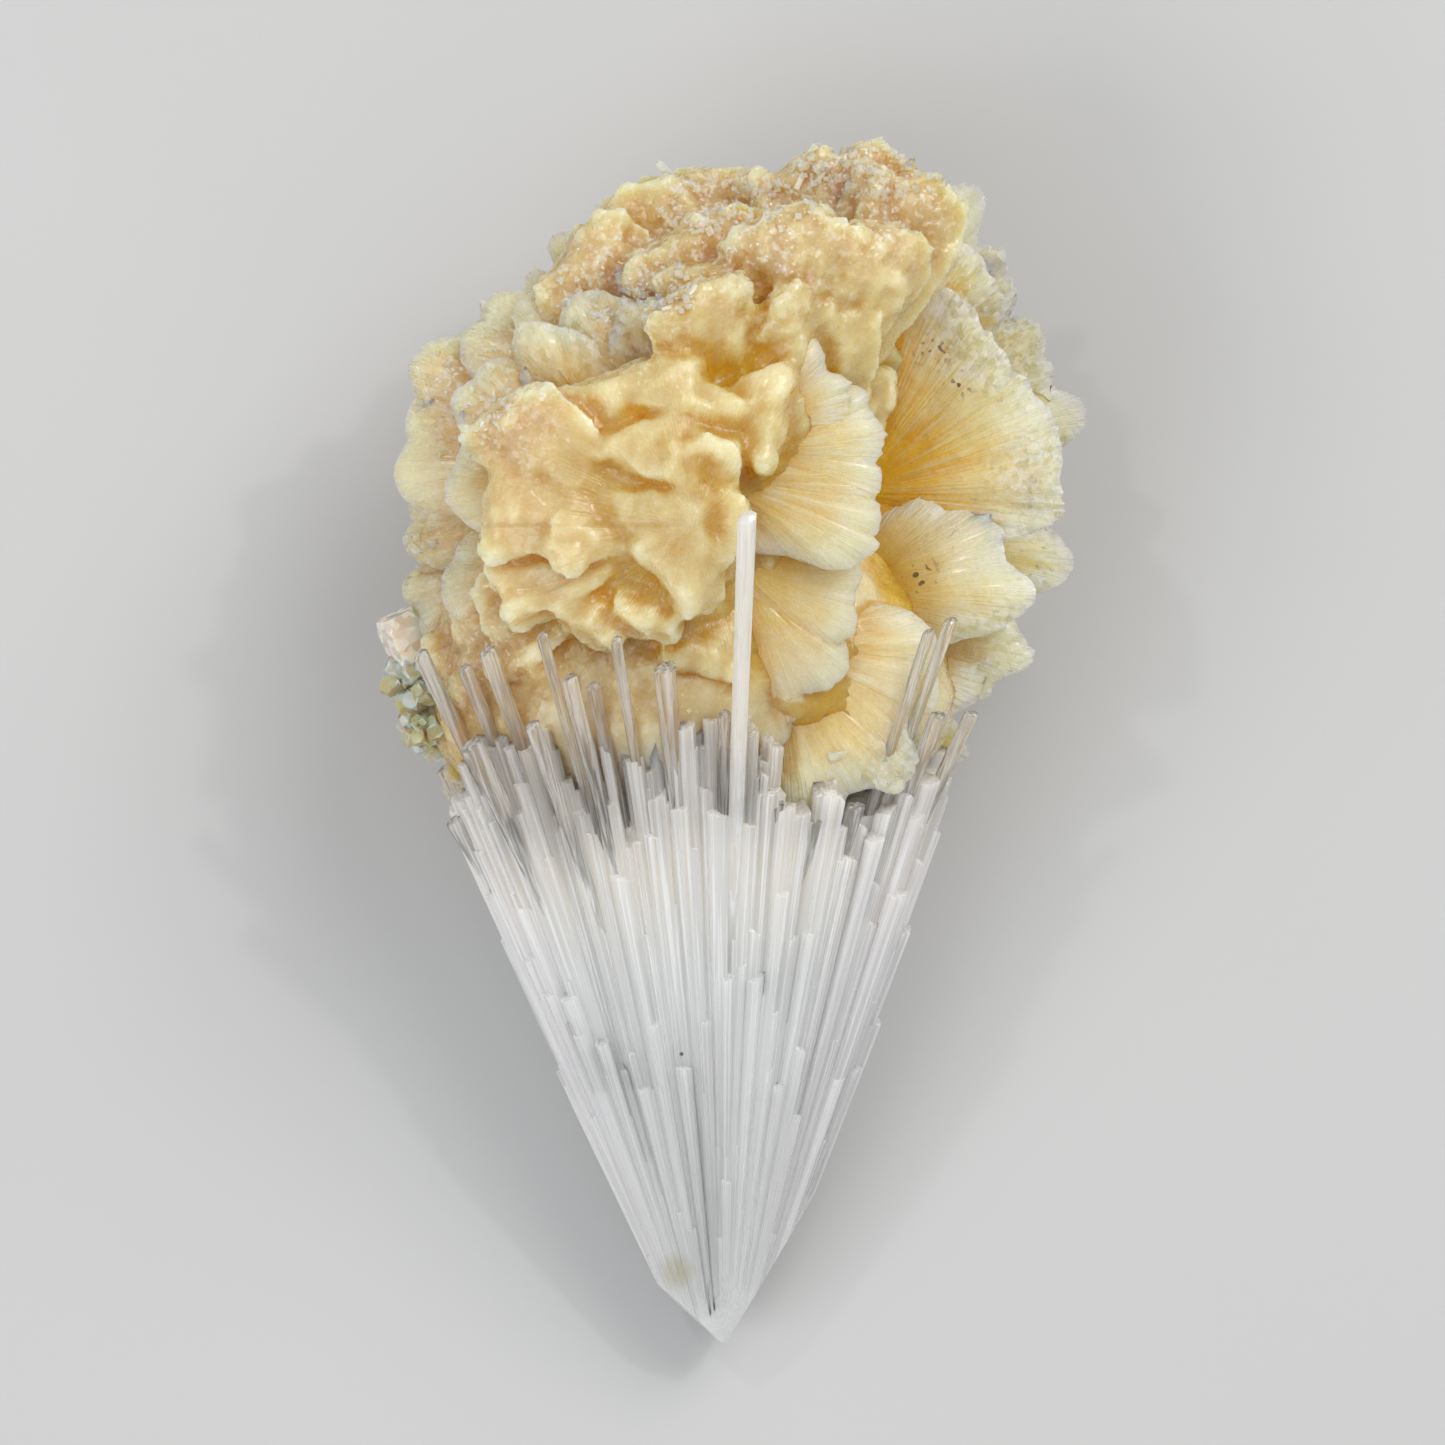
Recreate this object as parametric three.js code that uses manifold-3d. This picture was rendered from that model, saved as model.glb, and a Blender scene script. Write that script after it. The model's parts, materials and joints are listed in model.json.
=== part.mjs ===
// A hand specimen of scolecite with stilbite, lying on its flat back: a cone of slender crystals
// that radiate from one point, a head of fan-shaped stilbite blades grown over their ends, and a
// small crust of apophyllite crystals on the cone's left side.
// Millimetres: +X to the right, +Y from the cone's point towards the head, +Z up from the surface
// that the specimen lies on. The named places below count X and Y from the cone's point.
import * as THREE from "three";
import { mergeVertices } from "three/addons/utils/BufferGeometryUtils.js";
import Module from "manifold-3d";

// Gap left between two minerals, so that their solids don't share a face.
const GAP = 0.3;

// The spray: where its crystals converge, how its axis leans and how wide it opens.
const SPRAY_POINT = new THREE.Vector3(0, -1.2, 5);
const SPRAY_AXIS_RIGHT_DEG = -3;
const SPRAY_AXIS_UP_DEG = 14.5;
const SPRAY_HALF_WIDTH_DEG = 23.5;
const SPRAY_HALF_DEPTH_DEG = 15;

// The body's outline: distance along the axis, and the opening there as a share of the cone's.
const SPRAY_BODY = [
  { along: 4.5, share: 0.95 },
  { along: 20, share: 1.13 },
  { along: 34, share: 1.04 },
  { along: 47.5, share: 0.96 },
  { along: 46.8, share: 0.6 },
];
const SPRAY_BODY_START = 1.2;
const SPRAY_BODY_FLAT_END = 45.5;
const SPRAY_BODY_SIDES = 14;

// Crystals that run along the cone's surface and end on it in steps. width is across a crystal's
// flats; length is to the middle of the tips, which are scattered over spread.
const STEPPED_RINGS = [
  { count: 15, length: 24, spread: 11, width: 1.9, turn: 0.1, start: 3 },
  { count: 20, length: 37, spread: 12, width: 1.9, turn: 0.25, start: 13 },
  { count: 23, length: 49, spread: 8, width: 1.9, turn: 0.05, start: 24 },
];
// How far out from the axis a stepped crystal lies, as a share of the cone's opening.
const STEPPED_OUT_AT_POINT = 1.3;
const STEPPED_OUT_LOSS_PER_MM = 0.006;
const STEPPED_START_INSET = 0.86;
const STEPPED_WIDTH_SHARES = [0.85, 1.35];
const STEPPED_SEED = 41;

// Crystals that stand out past the cone's body, in front of the head or at its sides.
// right and up are degrees from the cone's axis, tip is the distance from the spray's point.
const STANDING_CRYSTALS = [
  { right: -23.2, up: 3, tip: 53.0, width: 1.5 },
  { right: -22.0, up: 0, tip: 56.5, width: 1.6 },
  { right: -19.7, up: 7, tip: 68.6, width: 1.4 },
  { right: -18.7, up: 10, tip: 61.0, width: 2.0 },
  { right: -17.0, up: 9, tip: 67.0, width: 1.3 },
  { right: -14.9, up: 11, tip: 68.8, width: 1.5 },
  { right: -13.2, up: 14, tip: 63.0, width: 1.3 },
  { right: -10.6, up: 14, tip: 70.6, width: 1.0 },
  { right: -9.3, up: 14.5, tip: 66.6, width: 1.4 },
  { right: -7.6, up: 14, tip: 65.2, width: 1.2 },
  { right: -5.2, up: 15, tip: 69.6, width: 1.0 },
  { right: -1.7, up: 15, tip: 66.6, width: 1.9 },
  { right: 3.0, up: 15.4, tip: 62.4, width: 1.1 },
  { right: 4.5, up: 16.4, tip: 81.2, width: 1.6 },
  { right: 8.0, up: 14, tip: 53.5, width: 1.7 },
  { right: 12.0, up: 13, tip: 52.0, width: 1.7 },
  { right: 16.0, up: 11, tip: 53.0, width: 1.6 },
  { right: 18.3, up: 9, tip: 68.6, width: 1.0 },
  { right: 19.6, up: 8, tip: 69.6, width: 1.1 },
  { right: 21.0, up: 7, tip: 61.0, width: 1.5 },
  { right: 23.6, up: 3, tip: 60.6, width: 1.3 },
];
const STANDING_START = 32;
const STANDING_START_INSET = 0.84;

// A crystal's width where it starts, as a share of its width at its tip.
const CRYSTAL_ROOT_SHARE = 0.45;
const CRYSTAL_SIDES = 6;

// Rounded masses that carry the stilbite blades: centre and half-sizes.
const HEAD_MASS_DETAIL = 1;
const HEAD_MASSES = [
  { at: [-7, 70, 22.5], half: [14, 13.5, 17] },
  { at: [0.5, 81, 21], half: [13.5, 12, 15] },
  { at: [12, 71, 6], half: [12.5, 14, 10.5] },
  { at: [3.5, 58, 20], half: [13.5, 11, 11] },
  { at: [-12, 58, 20], half: [12.5, 12.5, 13] },
  { at: [0, 63.5, 9], half: [19, 17, 12.5] },
  { at: [-1.5, 56.3, 17], half: [21, 13, 15.2] },
];

// Stilbite blades that show in front and at the rims: where each is rooted, where its rounded end
// lies, its half-width and half-thickness, and the side that its broad face looks to.
const UP = [0, 0, 1];
const LEFT_UP = [-0.5, 0.1, 1];
const RIGHT_UP = [0.4, 0, 1];
const HOLLOW = [-0.5, -0.2, 1];
const LOWER_UP = [0.2, -0.3, 1];
const BLADES = [
  // The forward mass, left of the middle.
  { root: [-6, 74, 37], tip: [-8.5, 81, 42], wide: 5.6, thick: 2.2, face: [0.1, -0.4, 1] },
  { root: [-11.5, 73, 38], tip: [-3.0, 73.5, 43.5], wide: 5.0, thick: 2.4, face: UP },
  { root: [-9, 72, 36], tip: [-2.8, 61.2, 41.5], wide: 4.2, thick: 3.2, face: [-0.4, 0.2, 1] },
  { root: [-1, 70, 37], tip: [-1.4, 61.4, 41], wide: 3.2, thick: 2.6, face: RIGHT_UP },
  { root: [2.6, 69.5, 36], tip: [3.8, 81.2, 42], wide: 3.4, thick: 2.6, face: RIGHT_UP },
  { root: [-0.4, 66.5, 37], tip: [0.1, 75, 42], wide: 2.0, thick: 2.0, face: UP },
  { root: [-11, 70, 36], tip: [-17.5, 78.2, 38.5], wide: 4.6, thick: 2.2, face: LEFT_UP },
  { root: [-10, 69, 37], tip: [-19.5, 70, 37], wide: 4.2, thick: 2.2, face: LEFT_UP },
  { root: [-9, 66, 36], tip: [-19, 63.8, 35], wide: 4.0, thick: 2.2, face: LEFT_UP },
  { root: [-8, 65, 34], tip: [-12.4, 59.4, 36.5], wide: 3.2, thick: 2.2, face: UP },
  { root: [-5, 64.5, 34], tip: [-6.6, 59.4, 38], wide: 2.7, thick: 2.4, face: UP },
  { root: [-11, 64, 31], tip: [-19, 59, 32], wide: 4.4, thick: 2.4, face: LEFT_UP },
  { root: [-9, 61, 27], tip: [-16.5, 53.4, 28.5], wide: 4.6, thick: 2.4, face: LEFT_UP },
  { root: [-1, 63, 31], tip: [-2.6, 55.5, 34], wide: 3.4, thick: 2.2, face: LOWER_UP },
  // The left rim, from the middle height to the upper left.
  { root: [-12, 74, 31], tip: [-21, 79.8, 33.5], wide: 4.2, thick: 2.2, face: LEFT_UP },
  { root: [-12, 71, 30], tip: [-22.2, 72.8, 32.5], wide: 4.6, thick: 2.2, face: LEFT_UP },
  { root: [-12, 66, 29], tip: [-22.2, 63, 30], wide: 4.6, thick: 2.2, face: LEFT_UP },
  { root: [-11, 73, 23], tip: [-26.8, 74.8, 25], wide: 6.4, thick: 3.2, face: LEFT_UP },
  { root: [-11, 69, 23], tip: [-26.4, 68.4, 24], wide: 4.4, thick: 3.0, face: LEFT_UP },
  { root: [-11, 66, 22], tip: [-26.6, 61.4, 23], wide: 4.6, thick: 3.0, face: LEFT_UP },
  { root: [-10, 76, 23], tip: [-24.4, 81.6, 25], wide: 5.4, thick: 3.0, face: LEFT_UP },
  { root: [-8, 78, 25], tip: [-20.6, 85.2, 27], wide: 5.2, thick: 3.0, face: [-0.3, 0.3, 1] },
  { root: [-7, 79, 27], tip: [-15.6, 87.6, 29], wide: 4.6, thick: 3.0, face: [-0.2, 0.3, 1] },
  { root: [-9, 76, 32], tip: [-15.8, 83.4, 35.5], wide: 3.6, thick: 2.2, face: LEFT_UP },
  { root: [-5, 77, 32], tip: [-11.4, 86, 34.5], wide: 4.4, thick: 2.4, face: UP },
  { root: [-3, 78, 32], tip: [-6.8, 86.2, 36], wide: 3.6, thick: 2.2, face: UP },
  // The upper left mass and the crest.
  { root: [-3, 82, 26], tip: [-12.6, 90.8, 28], wide: 5.0, thick: 3.2, face: UP },
  { root: [-2, 83, 26], tip: [-8.4, 94.6, 26], wide: 5.0, thick: 3.2, face: UP },
  { root: [0, 84, 26], tip: [-2.4, 97.0, 25], wide: 4.6, thick: 3.2, face: UP },
  { root: [-1, 82, 30], tip: [-5, 92, 32.5], wide: 3.6, thick: 2.4, face: UP },
  { root: [1, 83, 31], tip: [0.4, 94.4, 32.5], wide: 3.4, thick: 2.4, face: UP },
  { root: [0, 79, 34], tip: [-2.6, 87.6, 39.5], wide: 4.2, thick: 2.2, face: [0.2, -0.3, 1] },
  { root: [4, 83, 32], tip: [3.6, 93.4, 36.5], wide: 3.0, thick: 2.4, face: UP },
  { root: [7, 83, 32], tip: [6.6, 93.6, 37.5], wide: 3.4, thick: 2.6, face: UP },
  { root: [7, 83, 28], tip: [6.8, 98.2, 28], wide: 5.0, thick: 3.2, face: UP },
  { root: [9, 83, 29], tip: [11.8, 99.6, 28.5], wide: 4.4, thick: 3.4, face: UP },
  { root: [10, 83, 30], tip: [15.6, 96, 32], wide: 4.6, thick: 3.0, face: RIGHT_UP },
  { root: [9, 81, 31], tip: [11.6, 90.6, 36], wide: 3.0, thick: 2.2, face: UP },
  { root: [9.5, 82, 31], tip: [13.6, 92.8, 36], wide: 3.6, thick: 2.4, face: RIGHT_UP },
  { root: [7.4, 78, 32], tip: [4.6, 87.8, 38.5], wide: 1.8, thick: 1.8, face: RIGHT_UP },
  { root: [9.4, 78, 30], tip: [10.6, 86.2, 35.5], wide: 2.5, thick: 1.8, face: UP },
  // The lobes that overhang the hollow, and the lower petals.
  { root: [0.5, 74.5, 33], tip: [9.8, 80, 36.4], wide: 4.4, thick: 2.2, face: RIGHT_UP },
  { root: [-1, 71.5, 34], tip: [13, 71.8, 36.4], wide: 6.8, thick: 3, face: RIGHT_UP },
  { root: [1, 65.5, 31], tip: [10.8, 59.4, 33.6], wide: 5.6, thick: 2.6, face: LOWER_UP },
  { root: [4, 60, 26.5], tip: [15.6, 49.8, 29.4], wide: 8, thick: 3.2, face: LOWER_UP },
  { root: [3, 58, 25.5], tip: [7.4, 45.8, 28.4], wide: 5.8, thick: 2.8, face: LOWER_UP },
  { root: [5, 61, 29], tip: [13.8, 56, 31.5], wide: 4.4, thick: 2, face: LOWER_UP },
  // The wide fan behind the hollow.
  { root: [10, 73, 17], tip: [17, 88, 24], wide: 6.4, thick: 2.6, face: HOLLOW },
  { root: [10, 72, 16.5], tip: [24.5, 82.5, 25], wide: 6.4, thick: 2.6, face: HOLLOW },
  { root: [10, 71.5, 16], tip: [27.2, 74.5, 25], wide: 6.4, thick: 2.6, face: HOLLOW },
  { root: [10, 71, 16], tip: [25.5, 67.5, 23.5], wide: 5.6, thick: 2.6, face: HOLLOW },
  // The right rim.
  { root: [8, 78, 20], tip: [19.8, 94.6, 24], wide: 4.6, thick: 3.2, face: RIGHT_UP },
  { root: [8, 77, 19], tip: [23.4, 89.8, 22], wide: 4.6, thick: 3.0, face: RIGHT_UP },
  { root: [8, 75, 18], tip: [27, 83, 20], wide: 5.0, thick: 3.0, face: RIGHT_UP },
  { root: [8, 73, 18], tip: [28.2, 77.6, 18], wide: 5.4, thick: 3.2, face: RIGHT_UP },
  { root: [8, 71, 18], tip: [26.8, 71, 17], wide: 4.2, thick: 3.0, face: RIGHT_UP },
  { root: [9, 68, 17], tip: [27.4, 65.4, 17], wide: 5.0, thick: 3.0, face: RIGHT_UP },
  { root: [8, 64.6, 18.5], tip: [23.4, 63.6, 26], wide: 7.2, thick: 3, face: [-0.35, 0, 1] },
  { root: [9, 66, 16], tip: [23.6, 61, 17], wide: 4.0, thick: 2.8, face: RIGHT_UP },
  { root: [9, 64, 16], tip: [22.4, 56.8, 18], wide: 5.4, thick: 3.4, face: RIGHT_UP },
];

// Blades on the back half of the head, which nothing tells apart: spread evenly by a formula over
// an ellipsoid, between two heights given as shares of its half-height.
const BACK_BLADES = { count: 28, centre: [0.5, 71.5, 19], half: [26.5, 26.5, 21], from: -0.95, to: 0.25 };
const BACK_BLADE_SIZES = { rooted: 0.42, reach: [0.93, 1], wide: [4.8, 7], thick: [3, 4.2] };
const BACK_BLADE_LEAN = { along: [0, 0.3], up: [0.6, 1.1] };
const BACK_BLADE_SEED = 7;

// The blade's outline from root to rounded end: share of the half-width, share of the length.
const BLADE_SIDES = 6;
const BLADE_OUTLINE = [
  [0, 0],
  [1, 0.72],
  [0.68, 0.95],
  [0, 1],
];

// Apophyllite crystals on the left flank: centre, half-size and turn of each.
const CRUST_CRYSTALS = [
  { at: [-25.8, 59.6, 21.5], half: 2.0, turn: 0.5 },
  { at: [-26.9, 55.4, 21.0], half: 1.3, turn: 0.2 },
  { at: [-25.6, 56.6, 22.6], half: 1.4, turn: 1.1 },
  { at: [-25.3, 54.2, 23.0], half: 1.5, turn: 0.7 },
  { at: [-26.4, 53.2, 21.4], half: 1.3, turn: 1.4 },
  { at: [-24.6, 52.2, 22.8], half: 1.4, turn: 0.3 },
  { at: [-25.5, 51.0, 21.2], half: 1.3, turn: 0.9 },
  { at: [-23.9, 50.0, 22.0], half: 1.5, turn: 1.2 },
  { at: [-24.8, 49.2, 20.2], half: 1.1, turn: 0.1 },
  { at: [-26.0, 57.0, 19.2], half: 1.5, turn: 0.6 },
  { at: [-25.8, 53.8, 18.8], half: 1.5, turn: 1.6 },
];
const CRUST_CRYSTAL_STRETCH = 1.2;
const CRUST_CRYSTAL_ROLL = 1.7;
const CRUST_BED = { from: [-25.6, 59.4, 20.6], to: [-23.4, 49.6, 20.6], radius: 1.7, bevel: 0.5, sides: 7 };

const wasm = await Module();
wasm.setup();
const { Manifold, Mesh } = wasm;

// Distance within which two vertices are one, and the numbers of the usual minimal random sequence.
const SAME_POINT = 1e-4;
const SEQUENCE_FACTOR = 16807;
const SEQUENCE_LENGTH = 2147483647;

// A fixed sequence of values between two limits, so that each build gives the same specimen.
function sequence(seed) {
  let state = seed;
  return ([low, high]) => {
    state = (state * SEQUENCE_FACTOR) % SEQUENCE_LENGTH;
    return low + ((high - low) * state) / SEQUENCE_LENGTH;
  };
}

const radians = THREE.MathUtils.degToRad;
const ABOVE = new THREE.Vector3(0, 0, 1);

function solidOf(geometry) {
  const bare = geometry.clone();
  bare.deleteAttribute("normal");
  bare.deleteAttribute("uv");
  const merged = mergeVertices(bare, SAME_POINT);
  const corners = merged.index.array;
  const kept = [];
  for (let i = 0; i < corners.length; i += 3) {
    const [a, b, c] = corners.slice(i, i + 3);
    if (a !== b && b !== c && a !== c) kept.push(a, b, c);
  }
  const vertProperties = new Float32Array(merged.attributes.position.array);
  const solid = new Manifold(new Mesh({ numProp: 3, vertProperties, triVerts: new Uint32Array(kept) }));
  if (solid.volume() > 0) return solid;
  const turned = kept.map((_, i) => kept[i - (i % 3) + [0, 2, 1][i % 3]]);
  return new Manifold(new Mesh({ numProp: 3, vertProperties, triVerts: new Uint32Array(turned) }));
}

function geometryOf(solid) {
  const mesh = solid.getMesh();
  const geometry = new THREE.BufferGeometry();
  geometry.setAttribute("position", new THREE.BufferAttribute(mesh.vertProperties, 3));
  geometry.setIndex(new THREE.BufferAttribute(mesh.triVerts, 1));
  geometry.computeVertexNormals();
  return geometry;
}

// A turned form along local +Y, with its outline given as [radius, height] pairs.
function turnedForm(outline, sides) {
  const points = outline.map(([radius, height]) => new THREE.Vector2(radius, height));
  return new THREE.LatheGeometry(points, sides, Math.PI / 2);
}

// Turns local +Y to the way from one point to another and local +Z towards facing, and moves it there.
function placed(geometry, from, to, facing) {
  const along = to.clone().sub(from).normalize();
  const side = along.clone().cross(facing).normalize();
  const outward = side.clone().cross(along);
  const turn = new THREE.Matrix4().makeBasis(side, along, outward);
  return geometry.applyMatrix4(turn).applyMatrix4(new THREE.Matrix4().makeTranslation(from));
}

// Direction of a crystal, in degrees to the right of the spray's axis and above it.
function sprayDirection(right, up) {
  const across = radians(SPRAY_AXIS_RIGHT_DEG + right);
  const above = radians(SPRAY_AXIS_UP_DEG + up);
  const level = Math.cos(above);
  return new THREE.Vector3(Math.sin(across) * level, Math.cos(across) * level, Math.sin(above));
}

// One six-sided crystal with a low pyramid at its end. inset draws its start in towards the axis.
function crystal({ right, up, tip, width, start, inset }, grow) {
  const from = SPRAY_POINT.clone().addScaledVector(sprayDirection(right * inset, up * inset), start);
  const to = SPRAY_POINT.clone().addScaledVector(sprayDirection(right, up), tip + grow);
  const length = from.distanceTo(to);
  const half = width / 2 + grow;
  const outline = [
    [0, 0],
    [half * CRYSTAL_ROOT_SHARE, 0],
    [half, length - width],
    [0, length],
  ];
  return solidOf(placed(turnedForm(outline, CRYSTAL_SIDES), from, to, ABOVE));
}

// The body that the crystals merge into: a flattened cone, a little bulged near its point.
function sprayBody(grow) {
  const to = SPRAY_POINT.clone().add(sprayDirection(0, 0));
  const wide = Math.tan(radians(SPRAY_HALF_WIDTH_DEG));
  const deep = Math.tan(radians(SPRAY_HALF_DEPTH_DEG));
  const around = SPRAY_BODY.map(({ along, share }) => [
    along * share + grow / wide,
    along + (grow * along) / SPRAY_BODY_FLAT_END,
  ]);
  const outline = [[0, SPRAY_BODY_START - grow], ...around, [0, SPRAY_BODY_FLAT_END + grow]];
  const form = turnedForm(outline, SPRAY_BODY_SIDES).scale(wide, 1, deep);
  return solidOf(placed(form, SPRAY_POINT, to, ABOVE));
}

function steppedCrystals(grow) {
  const between = sequence(STEPPED_SEED);
  return STEPPED_RINGS.flatMap(({ count, length, spread, width, turn, start }) =>
    Array.from({ length: count }, (_, i) => {
      const around = ((i + turn + between([0, 0.5])) / count) * 2 * Math.PI;
      const tip = length + between([-spread / 2, spread / 2]);
      const out = STEPPED_OUT_AT_POINT - STEPPED_OUT_LOSS_PER_MM * tip;
      const place = {
        right: Math.cos(around) * SPRAY_HALF_WIDTH_DEG * out,
        up: Math.sin(around) * SPRAY_HALF_DEPTH_DEG * out,
        tip,
        width: width * between(STEPPED_WIDTH_SHARES),
        inset: STEPPED_START_INSET,
        start,
      };
      return crystal(place, grow);
    }),
  );
}

function spray(grow) {
  const rooted = { start: STANDING_START, inset: STANDING_START_INSET };
  const standing = STANDING_CRYSTALS.map((place) => crystal({ ...place, ...rooted }, grow));
  return Manifold.union([sprayBody(grow), ...steppedCrystals(grow), ...standing]);
}

function headMass({ at, half }, grow) {
  const form = new THREE.IcosahedronGeometry(1, HEAD_MASS_DETAIL);
  form.scale(...half.map((size) => size + grow));
  form.translate(...at);
  return solidOf(form);
}

function blade({ root, tip, wide, thick, face }, grow) {
  const from = new THREE.Vector3(...root);
  const to = new THREE.Vector3(...tip);
  const length = from.distanceTo(to) + grow;
  const outline = BLADE_OUTLINE.map(([across, along]) => [across, along * length]);
  const form = turnedForm(outline, BLADE_SIDES).scale(wide + grow, 1, thick + grow);
  return solidOf(placed(form, from, to, new THREE.Vector3(...face)));
}

// Places for the blades that cover the back half, on a spiral over an ellipsoid.
function backBlades() {
  const { count, centre, half, from, to } = BACK_BLADES;
  const { rooted, reach, wide, thick } = BACK_BLADE_SIZES;
  const between = sequence(BACK_BLADE_SEED);
  const goldenTurn = Math.PI * (3 - Math.sqrt(5));
  return Array.from({ length: count }, (_, i) => {
    const height = from + ((to - from) * (i + 0.5)) / count;
    const flat = Math.sqrt(1 - height * height);
    const out = [flat * Math.cos(i * goldenTurn), flat * Math.sin(i * goldenTurn), height];
    const at = (share) => centre.map((c, axis) => c + out[axis] * half[axis] * share);
    return {
      root: at(rooted),
      tip: at(between(reach)),
      wide: between(wide),
      thick: between(thick),
      face: [-out[1] + between(BACK_BLADE_LEAN.along), out[0], between(BACK_BLADE_LEAN.up)],
    };
  });
}

function head(grow) {
  const masses = HEAD_MASSES.map((mass) => headMass(mass, grow));
  const blades = [...BLADES, ...backBlades()].map((place) => blade(place, grow));
  return Manifold.union([...masses, ...blades]);
}

// A squat eight-faced crystal, as the species grows.
function crustCrystal({ at, half, turn }) {
  const form = new THREE.OctahedronGeometry(half, 0);
  form.scale(1, 1, CRUST_CRYSTAL_STRETCH);
  form.rotateX(turn).rotateY(turn * CRUST_CRYSTAL_ROLL).translate(...at);
  return solidOf(form);
}

function crust() {
  const { from, to, radius, bevel, sides } = CRUST_BED;
  const start = new THREE.Vector3(...from);
  const end = new THREE.Vector3(...to);
  const length = start.distanceTo(end);
  const outline = [
    [0, 0],
    [radius, bevel],
    [radius, length - bevel],
    [0, length],
  ];
  const bed = solidOf(placed(turnedForm(outline, sides), start, end, ABOVE));
  return Manifold.union([bed, ...CRUST_CRYSTALS.map(crustCrystal)]);
}

// The part of a solid above the flat back, where the specimen was parted from the cavity's wall.
const aboveBack = (solid) => solid.trimByPlane([0, 0, 1], 0);

// A cut can leave crumbs: the specimen keeps the largest piece.
const largest = (solid) => solid.decompose().sort((a, b) => b.volume() - a.volume())[0];

const scolecite = largest(spray(0));
const stilbite = largest(aboveBack(head(0)).subtract(spray(GAP)));
const apophyllite = largest(crust().subtract(spray(GAP)).subtract(head(GAP)));

const MINERALS = [
  ["scolecite_spray", scolecite, { color: 0xe9e8ea, roughness: 0.15 }],
  ["stilbite_head", stilbite, { color: 0xe2bd86, roughness: 0.45 }],
  ["apophyllite_crust", apophyllite, { color: 0xaaa77c, roughness: 0.2 }],
];

// The origin is the middle of the specimen's outline, on the surface that it lies on.
const specimen = new THREE.Group();
for (const [name, solid, look] of MINERALS) {
  const mesh = new THREE.Mesh(geometryOf(solid), new THREE.MeshStandardMaterial({ metalness: 0, ...look }));
  mesh.name = name;
  specimen.add(mesh);
}
const bounds = new THREE.Box3().setFromObject(specimen);
const middle = bounds.getCenter(new THREE.Vector3());
specimen.position.set(-middle.x, -middle.y, -bounds.min.z);

export default specimen;
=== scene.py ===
"""Dresses the scolecite with stilbite specimen: one fused head of stilbite petals, one fused spray of
scolecite prisms, a crust of small apophyllite crystals and a frosting of tiny clear ones.

Places and sizes in the tables are in millimetres, counted from the cone's point: X to the right,
Y from the point towards the head, Z up from the surface that the specimen lies on.
"""

import json
import math
import random
from contextlib import contextmanager

import bmesh
import bpy
import numpy as np
from mathutils import Matrix, Vector, noise
from mathutils.bvhtree import BVHTree

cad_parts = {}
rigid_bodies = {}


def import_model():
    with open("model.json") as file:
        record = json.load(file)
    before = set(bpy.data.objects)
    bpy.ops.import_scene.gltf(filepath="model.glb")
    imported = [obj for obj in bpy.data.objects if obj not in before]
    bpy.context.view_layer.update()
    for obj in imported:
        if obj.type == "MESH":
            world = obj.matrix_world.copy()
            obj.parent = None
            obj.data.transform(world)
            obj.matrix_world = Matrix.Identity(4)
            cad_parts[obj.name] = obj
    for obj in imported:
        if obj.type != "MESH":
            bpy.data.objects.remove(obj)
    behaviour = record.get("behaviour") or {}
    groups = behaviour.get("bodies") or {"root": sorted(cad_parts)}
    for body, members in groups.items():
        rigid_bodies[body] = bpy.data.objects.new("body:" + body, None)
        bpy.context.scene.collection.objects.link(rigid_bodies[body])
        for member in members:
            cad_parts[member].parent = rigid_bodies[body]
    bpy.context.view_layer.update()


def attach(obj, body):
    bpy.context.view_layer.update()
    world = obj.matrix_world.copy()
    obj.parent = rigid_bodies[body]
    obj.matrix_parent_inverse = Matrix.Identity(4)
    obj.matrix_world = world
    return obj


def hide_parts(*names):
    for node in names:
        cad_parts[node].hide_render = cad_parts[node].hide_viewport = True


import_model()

# Where the cone's point lies in the frame, in millimetres, and the frame's metres to a millimetre.
POINT_SHIFT = Vector((-0.037, -49.78, 0))
MM = 0.001
TO_FRAME = Matrix.Scale(MM, 4) @ Matrix.Translation(POINT_SHIFT)

# The spray: where its edges would meet, how its axis leans and how wide it opens.
CONE_POINT = Vector((0, -7, 3.5))
CONE_AXIS_DEG = (-2.2, 14.5)
CONE_HALF_WIDTH_DEG = 20.6
CONE_HALF_DEPTH_DEG = 13.4
CONE_BODY_SHARE = 0.95
CONE_BODY_START = 4
CONE_BODY_END = 55
CONE_BODY_SIDES = 40

# Layers of crystals on the cone: how many, how far out, and the shortest and longest distance
# of their tips.
CRYSTAL_LAYERS = [
    (110, 0.985, 54, 61),
    (100, 1.02, 30, 60),
    (80, 1.045, 20, 52),
    (56, 1.07, 15, 42),
]
CRYSTAL_START_SHARE = 0.1
CRYSTAL_WIDTH_PER_MM = 0.028
CRYSTAL_WIDTHS = (0.6, 1.6)
CRYSTAL_CLEAR = (0.05, 0.4)
ROLLS = (0, 1.5)
# Thin crystals at the front that reach between the petals: how many, how far out, the shortest and
# longest distance of their tips, and where across the cone they stand, as shares of its half-width.
FENCE = (230, (0.84, 1.02), (55, 67), (-0.98, 0.35))
FENCE_START = 30
FENCE_WIDTHS = (0.7, 1.8)
FENCE_CLEAR = (0.1, 0.38)
# Kinds of crystal in the layers and the fence: sides, slope of the end and its point.
CRYSTAL_KINDS = ((6, 0.01, 0.0), (5, -0.014, 0.004), (4, 0.02, 0.0))
STANDING_KIND = (8, 0.012, 0.006)

# Cuts that leave the blunt root: a point on each and the way that falls off.
ROOT_CUTS = [
    ((-2.2, 1.6, 5), (-0.68, -0.75, 0.1)),
    ((0.9, 1.2, 5), (0.86, -0.5, 0.0)),
    ((0, 1.5, 7.5), (0.1, -0.6, 0.8)),
    ((0, 0.0, 5), (0, -1, 0)),
]

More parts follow.
